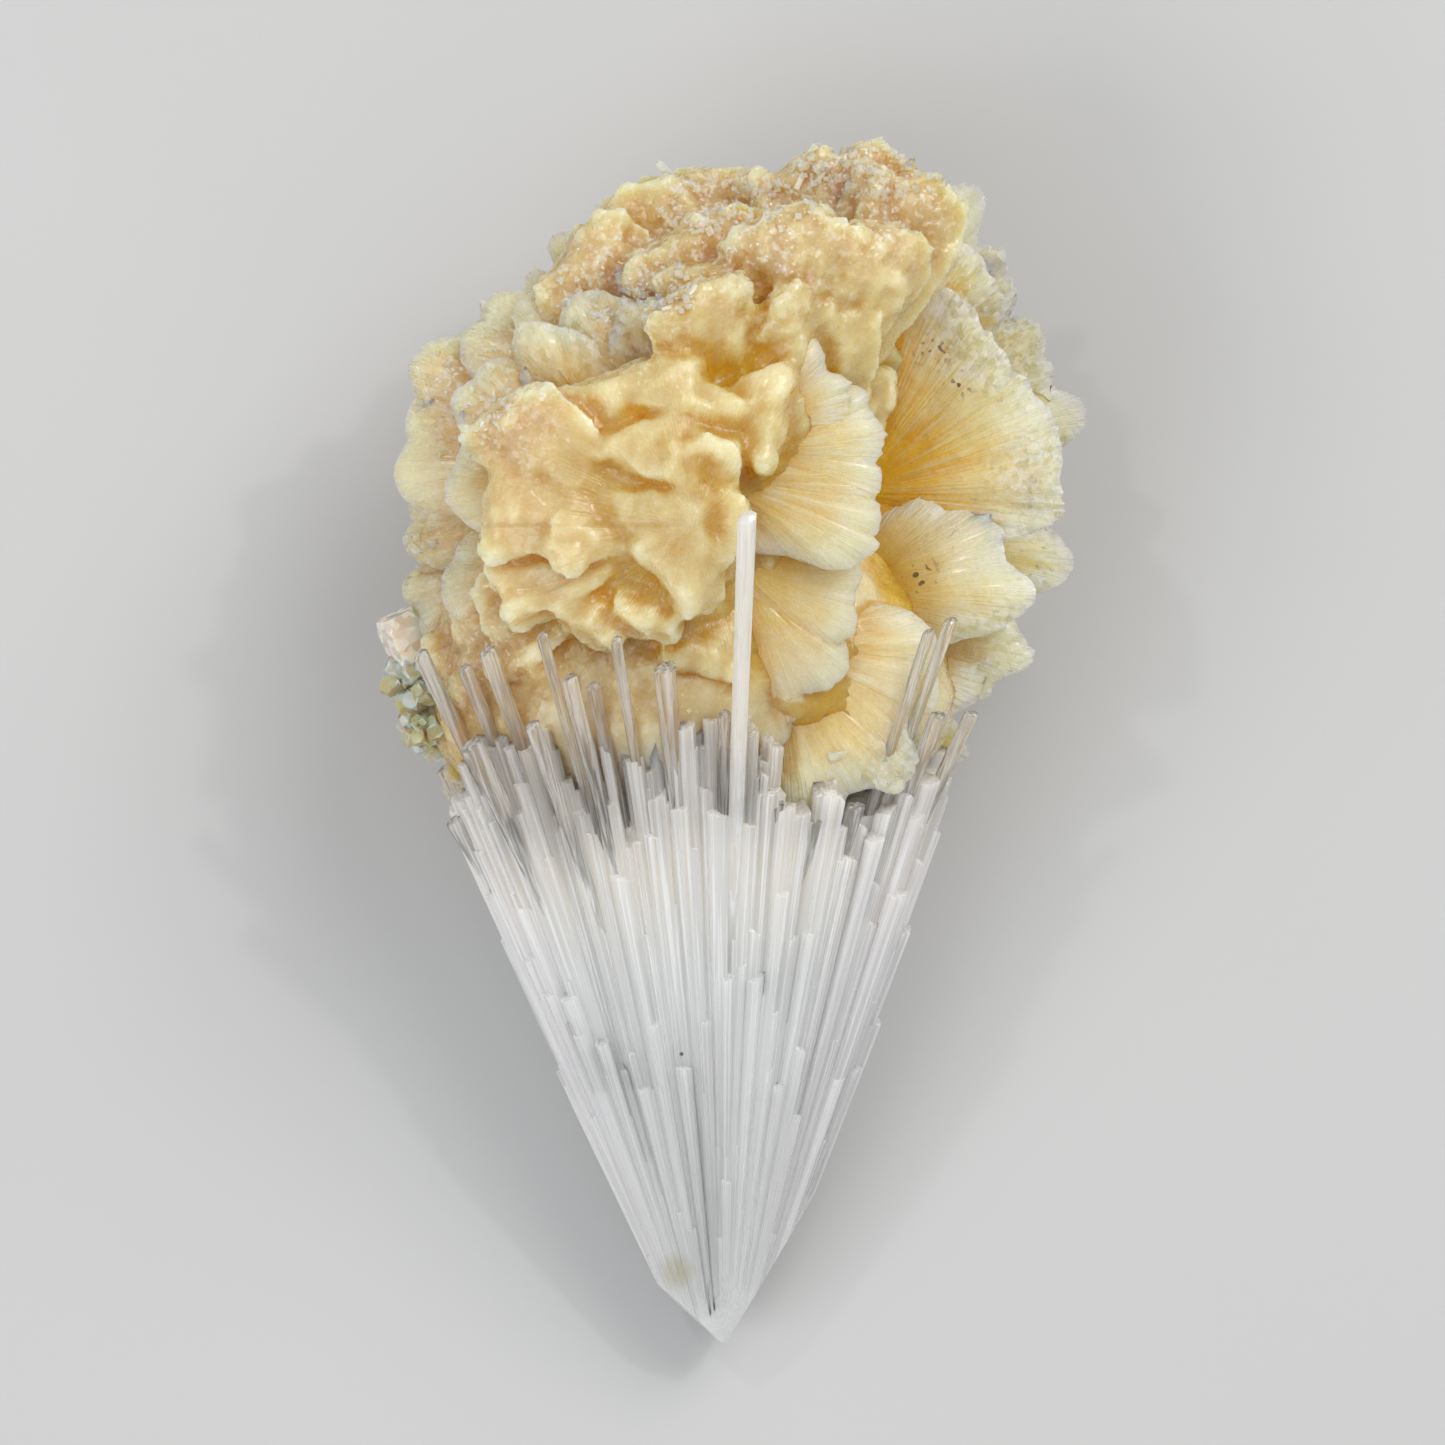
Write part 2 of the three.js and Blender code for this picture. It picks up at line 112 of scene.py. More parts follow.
# The point and axis that the standing crystals are counted from.
SPRAY_POINT = Vector((0, -1.2, 5))
SPRAY_AXIS_DEG = (-3, 14.5)

# Crystals that stand out past the cone's body: degrees right of the cone's axis and above it,
# distance of the tip from the spray's point, and width.
STANDING_CRYSTALS = [
    (-23.2, 3, 53.0, 1.5), (-22.0, 0, 56.5, 1.6), (-19.7, 7, 68.6, 1.4), (-18.7, 10, 61.0, 2.0),
    (-17.0, 9, 67.0, 1.3), (-14.9, 11, 68.8, 1.5), (-13.2, 14, 63.0, 1.3), (-10.6, 14, 70.6, 1.0),
    (-9.3, 14.5, 66.6, 1.4), (-7.6, 14, 65.2, 1.2), (-5.2, 15, 69.6, 1.0), (-1.7, 15, 66.6, 1.9),
    (3.0, 15.4, 62.4, 1.1), (4.5, 16.4, 81.2, 1.6), (8.0, 14, 53.5, 1.7), (12.0, 13, 52.0, 1.7),
    (16.0, 11, 53.0, 1.6), (18.3, 9, 68.6, 1.0), (19.6, 8, 69.6, 1.1), (21.0, 7, 61.0, 1.5),
    (23.6, 3, 60.6, 1.3),
]

# The standing crystals start this far out, with this share of their tips' angles. The one whose tip
# is past TALL_TIP is milky.
STANDING_START = 32
STANDING_START_SHARE = 0.84
STANDING_ROOT_SHARE = 0.7
STANDING_ROLL = 0.3
STANDING_CLEAR = 0.8
TALL_TIP = 75
TALL_CLEAR = 0.1

# Rounded masses that carry the stilbite: centre and half-sizes.
HEAD_MASSES = [
    ((-7, 70, 23), (14, 13.5, 16.6)),
    ((0.5, 81, 21), (13, 12, 15)),
    ((12, 71, 6), (12.5, 14, 10.5)),
    ((3.5, 58, 20), (13.5, 11, 11)),
    ((-12, 58, 20), (12.5, 12.5, 13)),
    ((0, 63.5, 9), (19, 17, 12.5)),
    ((-6, 55.6, 16.4), (16.6, 13.7, 18.5)),
    ((-6, 58, 20), (15, 15, 14.5)),
    ((-13, 56, 18), (12, 13, 14)),
    ((10, 55, 16), (9.5, 8.5, 12.6)),
]
# No small petals grow in these places: middle and reach seen from above, and the lowest height.
BARE_PLACES = [
    ((17.5, 74), 17, 11),
    ((7, 56), 12, 21),
    ((-8, 52), 14, 24),
]
FROST_LOWEST = 11
ABOVE_ALL = 60
# The highest that the back's petals reach behind the fan.
BACK_HIGHEST_RIGHT = 13
HEAD_CENTRE = Vector((1, 72, 20))
HEAD_HALF = Vector((27, 27, 23))

# Forms of stilbite: root, rounded tip, half-width, half-thickness and the side the face looks to.
UP = (0, 0, 1)
LEFT_UP = (-0.5, 0.1, 1)
RIGHT_UP = (0.4, 0, 1)
LOWER_UP = (0.2, -0.3, 1)
# Wedges are blunt, and petals are shells with a notched rim.
WEDGES = [
    # The forward mass, left of the middle.
    ((-6, 74, 36), (-8.5, 81, 38), 5.6, 2.2, (0.1, -0.4, 1)),
    ((-9, 72, 34), (-2.8, 61.2, 37), 4.2, 3.2, (-0.4, 0.2, 1)),
    ((2.0, 69.5, 34), (3.2, 79.2, 37.5), 3.4, 2.6, RIGHT_UP),
    ((-11, 70, 36), (-17.5, 78.2, 38.5), 4.6, 2.2, LEFT_UP),
    ((-10, 69, 37), (-19.5, 70, 37), 4.2, 2.2, LEFT_UP),
    ((-9, 66, 36), (-19, 63.8, 35), 4.0, 2.2, LEFT_UP),
    ((-9.5, 67.6, 37), (-13.8, 66, 40), 2.4, 1.8, UP),
    ((-8, 65, 34), (-12.4, 59.4, 36.5), 3.2, 2.2, UP),
    ((-5, 64.5, 34), (-6.6, 59.4, 38), 2.7, 2.4, UP),
    ((-11, 64, 31), (-19, 59, 32), 4.4, 2.4, LEFT_UP),
    ((-9, 61, 27), (-16.5, 53.4, 28.5), 4.6, 2.4, LEFT_UP),
    ((-6, 61, 29), (-9, 53, 31.5), 4.2, 2.4, LOWER_UP),
    ((-1, 63, 31), (-2.6, 55.5, 34), 3.4, 2.2, LOWER_UP),
    ((0, 60, 28), (-2, 50.4, 31), 3.8, 2.2, LOWER_UP),
    ((-1.5, 73, 36.5), (-1.2, 79, 40), 3.0, 2.4, UP),
    ((-1.8, 69, 37), (-1.8, 75.6, 41.2), 3.0, 2.6, UP),
    ((-2.2, 63.5, 38.0), (-0.8, 71.5, 40.2), 3.0, 2.4, UP),
    # The upper left mass and the crest.
    ((-3, 82, 26), (-13.2, 91.6, 28), 5.0, 3.2, UP),
    ((-2, 83, 26), (-8.8, 95.4, 26), 5.0, 3.2, UP),
    ((0, 84, 26), (-2.6, 97.8, 25), 4.6, 3.2, UP),
    ((-1, 82, 30), (-5, 92, 32.5), 3.6, 2.4, UP),
    ((1, 83, 31), (0.4, 94.4, 32.5), 3.4, 2.4, UP),
    ((0, 79, 34), (-2.6, 87.6, 39.5), 4.2, 2.2, (0.2, -0.3, 1)),
    ((4, 83, 32), (3.6, 93.4, 36.5), 3.0, 2.4, UP),
    ((7, 83, 32), (6.6, 93.6, 37.5), 3.4, 2.6, UP),
    ((7, 83, 28), (6.8, 98.2, 28), 5.0, 3.2, UP),
    ((9, 83, 29), (11.8, 99.4, 28.5), 4.4, 3.4, UP),
    ((10, 83, 30), (16.2, 96.8, 31), 4.6, 3.0, RIGHT_UP),
    ((9, 81, 31), (11.6, 90.6, 36), 3.0, 2.2, UP),
    ((9.5, 82, 31), (13.6, 92.8, 36), 3.6, 2.4, RIGHT_UP),
    ((7.4, 78, 32), (4.6, 87.8, 38.5), 1.8, 1.8, RIGHT_UP),
    ((8.4, 79, 31), (7.6, 86.2, 36.5), 1.5, 1.5, UP),
    ((9.4, 78, 30), (10.6, 86.2, 35.5), 2.5, 1.8, UP),
]
# Three-cornered wedges of the forward mass: the corners of the front face and the half-thickness.
SHARDS = [
    ((-12.6, 77.6, 37.6), (-2.2, 83.0, 40.2), (-2.9, 77.0, 42.0), 2.4),
    ((-12.8, 74.2, 40.0), (-2.5, 78.2, 41.8), (-2.6, 70.4, 42.2), 2.6),
    ((-2.0, 79.2, 38.4), (5.6, 82.2, 40.2), (2.7, 71.2, 41.6), 3.0),
    ((-1.9, 75.2, 41.0), (1.9, 75.0, 41.6), (-0.3, 69.8, 41.4), 1.8),
    ((-13.6, 72.0, 38.2), (-2.3, 59.4, 41.0), (-1.6, 70.2, 43.0), 3.0),
    ((-2.9, 59.6, 40.8), (1.6, 62.4, 38.0), (-1.2, 70.4, 42.8), 2.6),
    ((-17.2, 79.6, 36.2), (-11.4, 76.6, 38.8), (-13.6, 72.2, 38.6), 1.8),
    ((-18.6, 74.2, 36.4), (-12.6, 73.6, 39.2), (-14.4, 68.6, 38.6), 1.8),
    ((-17.4, 68.2, 36.2), (-11.2, 68.8, 39.4), (-12.6, 63.2, 38.0), 1.9),
    ((-14.4, 64.4, 35.8), (-9.4, 64.8, 38.6), (-10.6, 59.0, 36.2), 1.8),
    ((-9.2, 63.2, 37.2), (-4.6, 62.2, 38.8), (-6.8, 57.6, 35.8), 2.2),
    ((-6.8, 89.2, 35.8), (1.6, 90.2, 36.4), (-1.8, 82.6, 38.6), 2.2),
    ((1.2, 92.6, 35.4), (6.8, 93.6, 36.2), (4.2, 85.6, 38.4), 2.2),
    ((6.2, 91.6, 36.0), (12.2, 92.6, 35.6), (8.2, 83.8, 37.0), 2.4),
    ((4.6, 85.6, 38.2), (7.6, 85.8, 38.0), (5.6, 76.8, 36.8), 1.4),
    ((8.0, 86.2, 36.8), (12.8, 85.8, 35.4), (9.2, 78.0, 34.4), 1.6),
]
# How far past its corners a shard reaches, for its rounded edges.
SHARD_REACH = 1.1
# Soft lumps: which masses they cover, how many to a mass, and the smallest and largest half-size.
LUMPY_MASSES = ((0, 46), (1, 90), (4, 40))
WAXY_MASSES = (0, 1, 4, 7, 8)
LUMP_SIZES = (1.0, 2.6)
LUMP_SHIFTS = (1.7, 6.1, 11.3)

PETALS = [
    # The left rim, from the middle height to the upper left.
    ((-12, 74, 31), (-21, 79.8, 33.5), 4.2, 2.2, LEFT_UP),
    ((-12, 71, 30), (-22.2, 72.8, 32.5), 4.6, 2.2, LEFT_UP),
    ((-12, 66, 29), (-22.2, 63, 30), 4.6, 2.2, LEFT_UP),
    ((-11, 73, 23), (-26.8, 74.8, 25), 6.4, 3.2, LEFT_UP),
    ((-11, 69, 23), (-26.4, 68.4, 24), 4.4, 3.0, LEFT_UP),
    ((-11, 66, 22), (-26.6, 61.4, 23), 4.6, 3.0, LEFT_UP),
    ((-10, 76, 23), (-24.4, 81.6, 25), 5.4, 3.0, LEFT_UP),
    ((-8, 78, 25), (-20.6, 85.2, 27), 5.2, 3.0, (-0.3, 0.3, 1)),
    ((-7, 79, 27), (-15.6, 87.6, 29), 4.6, 3.0, (-0.2, 0.3, 1)),
    ((-9, 76, 32), (-15.8, 83.4, 35.5), 3.6, 2.2, LEFT_UP),
    ((-5, 77, 32), (-11.4, 86, 34.5), 4.4, 2.4, UP),
    ((-3, 78, 32), (-6.8, 86.2, 36), 3.6, 2.2, UP),
    # Lower petals.
    ((2, 60, 28), (2.6, 50.4, 31), 4.4, 2.4, LOWER_UP),
    # The right rim.
    ((8, 78, 16), (20.2, 94.8, 21), 4.6, 2.2, RIGHT_UP),
    ((8, 77, 14), (24.0, 90.0, 18.5), 4.6, 1.9, RIGHT_UP),
    ((8, 75, 12), (27.2, 83.4, 16.5), 5.0, 1.9, RIGHT_UP),
    ((8, 73, 11), (28.4, 77.6, 15.5), 5.0, 1.9, RIGHT_UP),
    ((8, 71, 11), (27.2, 71, 15), 4.2, 1.9, RIGHT_UP),
    ((9, 68, 11), (27.4, 65.4, 15), 5.0, 1.9, RIGHT_UP),
    ((9, 66, 11), (24.2, 61, 15), 4.0, 1.9, RIGHT_UP),
    ((9, 64, 12), (22.4, 56.8, 16.5), 5.4, 2.6, RIGHT_UP),
]

# Broad shells that overhang the hollow, the lower ones, and those behind the fan's lower edge:
# hinge, rim, half-width, half-thickness and the side the face looks to.
LOBES = [
    ((-1.5, 75.5, 34), (9.6, 79.2, 37.0), 4.4, 2.4, RIGHT_UP),
    ((-1.0, 74.0, 34), (12.4, 74.6, 36.2), 5.6, 2.4, RIGHT_UP),
    ((-2.0, 72.0, 34), (12.4, 68.6, 36.4), 5.0, 3.0, RIGHT_UP),
    ((1.0, 65.5, 30.5), (10.4, 60.8, 33.0), 5.2, 2.6, LOWER_UP),
    ((1.0, 64.5, 29.5), (8.6, 55.4, 32.0), 4.6, 2.6, LOWER_UP),
    ((4, 60, 26.0), (16.4, 52.0, 28.8), 7.0, 3.2, LOWER_UP),
    ((3, 60, 25.5), (10.6, 45.6, 28.6), 7.4, 3.0, LOWER_UP),
    ((3, 58, 25.5), (3.4, 48.4, 29.0), 4.6, 2.4, LOWER_UP),
    ((7.5, 61.6, 18.5), (22.4, 66.0, 25.4), 7.4, 2.4, (-0.35, 0.1, 1)),
    ((8.5, 60.0, 17.0), (24.6, 59.6, 20.8), 6.4, 2.2, (-0.3, 0, 1)),
]

# Shells low on the right side, in the same form.
SIDE_SHELLS = [
    ((9, 66, 6), (25.4, 69, 6), 6.0, 1.7, (0, 0.5, 1)),
    ((9, 60, 6), (22.0, 58, 7), 5.4, 1.7, (0.2, -0.4, 1)),
    ((9, 74, 5), (25.4, 79, 5), 6.0, 1.7, (0, 0.4, 1)),
    ((9, 78, 8), (23.4, 86, 9), 5.4, 1.7, (-0.2, 0.4, 1)),
    ((8, 58, 12), (20.2, 53.0, 13), 5.0, 1.6, (0.3, -0.3, 1)),
    ((9, 60, 18), (20.2, 54.0, 20), 4.6, 1.6, (0.3, -0.3, 1)),
    ((8, 56, 8), (17.0, 49.4, 10), 4.6, 1.6, (0.3, -0.5, 1)),
]

# The attribute tone tells the finish which forms are wax, shells and wide fans, and sets single
# shells apart from each other.
WAX_TONE = 0.5
SHELL_TONE = -1.5
FAN_TONE = -2.0
TONE_RANGE = (-0.3, 0.3)

# Wide fans: hinge, the two radii, half-thickness, the side the face looks to, its turn in degrees
# and the depth of its bowl.
FANS = [
    ((11.2, 71.4, 17.5), (18.6, 19.0), 2.2, (-0.36, -0.16, 1), 0, 0.14),
    ((12.0, 80.0, 20.0), (14.0, 15.0), 2.4, (0.1, -0.4, 1), 40, 0.1),
    ((-13, 74, 24), (12.5, 13.5), 2.4, (-0.5, -0.1, 1), 150, 0.05),
]

# Where tiny clear crystals sit on the stilbite: middle and reach seen from above, how many, and
# their smallest and largest half-size.
FROST_PLACES = [
    ((11, 97), (8, 2.6), 150, 0.1, 0.3),
    ((1, 94), (7, 2.6), 90, 0.1, 0.28),
    ((-8, 87.5), (6, 3), 70, 0.1, 0.26),
    ((-4.5, 86.5), (3, 1.5), 30, 0.1, 0.26),
    ((-21, 79), (4, 6), 50, 0.08, 0.2),
    ((13.7, 48.5), (2.6, 2), 20, 0.08, 0.18),
    ((9.2, 49.6), (0.3, 0.3), 2, 0.4, 0.5),
    ((-25, 67), (1.0, 0.5), 6, 0.2, 0.35),
    ((24, 85), (3, 3), 30, 0.08, 0.2),
    ((26, 66), (2, 8), 30, 0.07, 0.18),
]
LONE_CRYSTAL = ((-2.6, 95.0, 25.5), (-5.2, 97.7, 27), 0.8)

# The crust on the left flank: middle and half-size of each cluster of crystals, and the pale block.
CRUST_CLUSTERS = [
    ((-26.6, 56.0, 21.0), 1.5), ((-25.9, 53.6, 21.4), 1.6), ((-25.3, 51.4, 21.2), 1.5),
    ((-24.3, 49.6, 20.8), 1.4), ((-25.9, 55.6, 18.8), 1.5), ((-25.2, 52.8, 18.8), 1.5),
    ((-25.2, 57.0, 22.0), 1.3), ((-24.4, 51.6, 22.9), 1.3), ((-24.7, 54.4, 23.2), 1.3),
]
CRYSTALS_TO_A_CLUSTER = 10
CRUST_CORNER = 0.58
PALE_BLOCK = ((-26.3, 59.3, 21.6), (1.5, 2.0, 1.6), (0.2, 0.35, 0.5))

# Helpers for modelling.

def assign(thing, **settings):
    for name, value in settings.items():
        setattr(thing, name, value)
    return thing


def add_object(name, data, place):
    thing = assign(bpy.data.objects.new(name, data), location=place)
    bpy.context.scene.collection.objects.link(thing)
    return thing


def make_active(piece):
    bpy.ops.object.select_all(action="DESELECT")
    piece.select_set(True)
    bpy.context.view_layer.objects.active = piece


@contextmanager
def editing(piece):
    """Opens a piece's mesh with all of it selected, and closes it after the edits."""
    make_active(piece)
    bpy.ops.object.mode_set(mode="EDIT")
    bpy.ops.mesh.select_all(action="SELECT")
    yield
    bpy.ops.object.mode_set(mode="OBJECT")


def remove(pieces):
    for piece in pieces:
        bpy.data.objects.remove(piece)


def apply_modifiers(piece):
    make_active(piece)
    for modifier in list(piece.modifiers):
        bpy.ops.object.modifier_apply(modifier=modifier.name)


def start_piece(name):
    """Names the primitive just added and takes its turn and place into its mesh."""
    piece = bpy.context.object
    piece.name = name
    make_active(piece)
    bpy.ops.object.transform_apply(location=True, rotation=True, scale=True)
    return piece


def remember_form(piece):
    """Keeps the plain form's coordinates as the attribute grain, which patterns follow later."""
    mesh = piece.data
    keep_grain(mesh, [vertex.co for vertex in mesh.vertices])
    mesh.attributes.new("tone", "FLOAT", "CORNER")
    mesh.attributes.new("clear", "FLOAT", "CORNER")


def keep_grain(mesh, places):
    """Keeps one place to a vertex at each corner of the faces, as a union carries corners over."""
    if "grain" not in mesh.attributes:
        mesh.attributes.new("grain", "FLOAT_VECTOR", "CORNER")
    corners = [axis for loop in mesh.loops for axis in places[loop.vertex_index]]
    mesh.attributes["grain"].data.foreach_set("vector", corners)


def fill_attribute(mesh, name, value):
    mesh.attributes[name].data.foreach_set("value", np.full(len(mesh.loops), value, np.float32))


def copy_of(master, matrix, collection, tone=WAX_TONE, clear=0.0):
    """A copy with its own mesh, placed by its vertices, in a collection that will be fused."""
    mesh = master.data.copy()
    mesh.transform(matrix)
    fill_attribute(mesh, "tone", tone)
    fill_attribute(mesh, "clear", clear)
    copy = bpy.data.objects.new(master.name, mesh)
    collection.objects.link(copy)
    return copy


def basis_between(start, end, facing):
    """Turns local +Y to the way from start to end and local +Z towards facing."""
    along = (end - start).normalized()
    side = along.cross(Vector(facing)).normalized()
    return Matrix((side, along, side.cross(along))).transposed().to_4x4()


def new_collection(name):
    collection = bpy.data.collections.new(name)
    bpy.context.scene.collection.children.link(collection)
    return collection


def move_to(piece, collection):
    for old in list(piece.users_collection):
        old.objects.unlink(piece)
    collection.objects.link(piece)


def fused(name, collection, first):
    """Joins all the closed forms of a collection to one closed skin."""
    move_to(first, bpy.context.scene.collection)
    first.name = name
    assign(first.modifiers.new("join", "BOOLEAN"), operation="UNION", solver="MANIFOLD",
           operand_type="COLLECTION", collection=collection)
    apply_modifiers(first)
    remove(list(collection.objects))
    bpy.data.collections.remove(collection)
    return first


def clouds(depth):
    return assign(bpy.data.textures.new("clouds", "CLOUDS"), noise_scale=1, noise_depth=depth)


def angular_lumps():
    texture = bpy.data.textures.new("angular lumps", "VORONOI")
    return assign(texture, noise_scale=1, distance_metric="MANHATTAN")


def displace(piece, waves):
    """Moves a form's skin by textures, each with its height and the place and size of its guide."""
    guides = []
    for texture, height, place, size in waves:
        guide = assign(add_object("guide", None, place), scale=size)
        bpy.context.view_layer.update()
        assign(piece.modifiers.new("displace", "DISPLACE"), texture=texture, texture_coords="OBJECT",
               texture_coords_object=guide, strength=height, mid_level=0.5)
        guides.append(guide)
    apply_modifiers(piece)
    remove(guides)


def displace_in_sizes(piece, sizes):
    """Adds lumps of several sizes, each with its height."""
    displace(piece, [(clouds(1), height, (size, 2 * size, 3 * size), (size, size, size))
                     for size, height in sizes])


def taper(piece, factor, **locks):
    assign(piece.modifiers.new("taper", "SIMPLE_DEFORM"), deform_method="TAPER", deform_axis="Y",
           factor=factor, **locks)


# The stilbite head.

WEDGE_OVERLAP = 0.12


def place_wedge(master, wedge, collection):
    root, tip, wide, thick, facing = wedge
    root, tip = Vector(root), Vector(tip)
    root = root + (root - tip) * WEDGE_OVERLAP
    size = Matrix.Diagonal((wide, (tip - root).length / 2, thick, 1))
    matrix = Matrix.Translation((root + tip) / 2) @ basis_between(root, tip, facing) @ size
    copy_of(master, matrix, collection)


SISTER_LENGTHS = (0.78, 0.94)
SISTER_TURN_DEG = 17
SISTER_WIDTH_SHARE = 0.6
SISTER_THICKNESS_SHARE = 0.5


def sister_of(petal, rng):
    """A thinner and narrower petal, turned to one side round the same root."""
    root, tip, wide, thick, facing = petal
    root, tip = Vector(root), Vector(tip)
    # Two draws are passed over, which keeps the order of all the later ones.
    rng.uniform(-12, 12)
    turned = rng.choice((-1, 1)) * SISTER_TURN_DEG
    rng.uniform(*SISTER_LENGTHS)
    turn = Matrix.Rotation(math.radians(turned), 4, Vector(facing).normalized())
    reach = (tip - root) * rng.uniform(*SISTER_LENGTHS)
    wide, thick = wide * SISTER_WIDTH_SHARE, thick * SISTER_THICKNESS_SHARE
    return root, root + turn @ reach, wide, thick, facing


FAN_LOWER_SHARE = 0.35
# How deep the lobes and the notches of a rim are, how many notches there are, how much wider the
# form is towards its rim, the height of its pleats and how many lines run to its rim.
FAN_RIM = (0.1, 0.035, 8, 0.0, 1.0, 1.7)
LOBE_RIM = (0.22, 0.032, 9, 0.8, 0.4, 1.7)
RIM_RIM = (0.1, 0.03, 7, 0.8, 0.5, 1.3)
SMALL_RIM = (0.16, 0.05, 4, 0.7, 0.8, 0.6)
# Segments around a wide fan and rings across it.
FAN_FINENESS = (192, 16)
SHELL_BOWL = -0.08
SHELL_THICKNESS = 0.2
# How much wider and longer a shell is than its half-width and length in the tables.
SHELL_STRETCH = (1.15, 1.02)


def fan_master(seed, bowl, half_thickness, rim, segments, rings):
    """A round fan whose grooves run from its middle to a lobed and notched rim."""
    lobed, notched, notches, flare, pleats, line_share = rim
    bpy.ops.mesh.primitive_uv_sphere_add(segments=segments, ring_count=rings, radius=1)
    fan = start_piece("fan")
    remember_form(fan)
    places = []
    for vertex in fan.data.vertices:
        x, y, z = vertex.co
        around, radius = math.atan2(y, x), math.hypot(x, y)
        if y < 0:
            y *= FAN_LOWER_SHARE
        groove = noise.noise((around * 6, radius * 1.2, seed)) * 0.045
        groove += noise.noise((around * 19, radius * 2, seed + 5)) * 0.02
        right, ahead = math.cos(around), math.sin(around)
        lobes = 1 + lobed * noise.noise((right * 2.4, ahead * 2.4, seed))
        lobes -= notched * abs(noise.noise((right * notches, ahead * notches, seed))) * 2
        height = z * half_thickness * (1 - 0.45 * radius)
        height += bowl * radius * radius + groove * pleats * radius
        wider = 1 + flare * (max(y, 0) - 0.5)
        vertex.co = (x * lobes * wider, y * lobes, height)
        places.append((around * line_share, radius * 3.1 - 1.9, z))
    keep_grain(fan.data, places)
    return fan


def place_fan(fan, seed, collection):
    hinge, radii, half_thickness, facing, turned, bowl = fan
    master = fan_master(seed, bowl, half_thickness / max(radii), FAN_RIM, *FAN_FINENESS)
    face = Vector(facing).normalized()
    side = Vector((0, 1, 0)).cross(face).normalized()
    basis = Matrix((side, face.cross(side), face)).transposed().to_4x4()
    size = Matrix.Diagonal((radii[0], radii[1], max(radii), 1))
    turn = Matrix.Rotation(math.radians(turned), 4, "Z")
    copy_of(master, Matrix.Translation(hinge) @ basis @ size @ turn, collection, FAN_TONE)
    remove([master])


def shell_masters(rim, segments, rings, first_seed, count=3):
    """Fans that grow from a root to one side, and are stretched to each shell's size."""
    seeds = [first_seed + 2.9 * i for i in range(count)]
    return [fan_master(seed, SHELL_BOWL, SHELL_THICKNESS, rim, segments, rings) for seed in seeds]


def place_shell(master, shell, collection, tone=SHELL_TONE):
    root, tip, wide, thick, facing = shell
    root, tip = Vector(root), Vector(tip)
    length = (tip - root).length * SHELL_STRETCH[1]
    size = Matrix.Diagonal((wide * SHELL_STRETCH[0], length, thick / SHELL_THICKNESS, 1))
    matrix = Matrix.Translation(root) @ basis_between(root, tip, facing) @ size
    copy_of(master, matrix, collection, tone)


def spread_over(centre, half, count, lowest, highest, rng):
    """Places on an ellipsoid, evenly on a spiral between two heights, with the way out at each."""
    golden = math.pi * (3 - math.sqrt(5))
    for i in range(count):
        height = lowest + (highest - lowest) * (i + 0.5) / count
        flat = math.sqrt(max(0.0, 1 - height * height))
        out = Vector((flat * math.cos(i * golden), flat * math.sin(i * golden), height))
        out = (out + Vector((rng.uniform(-0.08, 0.08) for _ in range(3)))).normalized()
        yield Vector((centre[axis] + out[axis] * half[axis] for axis in range(3))), out


# Scattered shells: the area of a mass to each, and their lengths, half-widths and half-thicknesses.
AREA_TO_A_SHELL = 20
SMALL_LENGTHS = (5, 8)
SMALL_WIDTHS = (2.6, 4.4)
SMALL_THICKNESSES = (0.9, 1.4)
# The shells of the back: how many, the share of the head's half-size that they reach, and sizes.
BACK_SHELLS = 84
BACK_REACH = 0.94
BACK_WIDTHS = (4.6, 7.4)
BACK_THICKNESSES = (1.3, 2.1)


def is_bare(place):
    return any(place.z > lowest and (place.xy - Vector(middle)).length < reach
               for middle, reach, lowest in BARE_PLACES)


def scattered_petals(rng):
    """Smaller shells that cover the masses between the large ones, and the whole back."""
    for i, (centre, half) in enumerate(HEAD_MASSES):
        area = half[0] * half[1] + half[1] * half[2] + half[0] * half[2]
        highest = 0.0 if i in WAXY_MASSES else 0.97
        for place, out in spread_over(centre, half, int(area / AREA_TO_A_SHELL), -0.9, highest, rng):
            if is_bare(place):
                continue
            turn = Vector((rng.uniform(-1, 1), rng.uniform(-1, 1), rng.uniform(-0.3, 0.6)))
            along = (out * 1.3 + turn * 0.8).normalized()
            length = rng.uniform(*SMALL_LENGTHS)
            root = place - along * length * 0.6
            tip = place + along * length * 0.4
            facing = out.cross(along) + out * rng.uniform(0.2, 1)
            yield (root, tip, rng.uniform(*SMALL_WIDTHS), rng.uniform(*SMALL_THICKNESSES), facing)
    low_centre = HEAD_CENTRE - Vector((0, 0, 1))
    for place, out in spread_over(low_centre, HEAD_HALF * BACK_REACH, BACK_SHELLS, -0.85, 0.15, rng):
        root = HEAD_CENTRE + (place - HEAD_CENTRE) * 0.5
        facing = Vector((-out.y, out.x, rng.uniform(0.3, 1.1))) + out * rng.uniform(-0.2, 0.9)
        if place.x > 10 and place.z > BACK_HIGHEST_RIGHT:
            continue
        yield (root, place, rng.uniform(*BACK_WIDTHS), rng.uniform(*BACK_THICKNESSES), facing)


# The waxy masses are melted to one skin of this fineness, then get lumps of these sizes and heights.
WAX_FINENESS = 0.38
WAX_MELTING = 4
WAX_LUMPS = [(4.0, 0.5), (1.5, 0.35), (0.6, 0.12)]
# The middle that the lines of the forward mass run out from.
WAX_MIDDLE = Vector((-2.5, 68))
RELIEF = [(3.0, 0.5), (1.0, 0.2)]


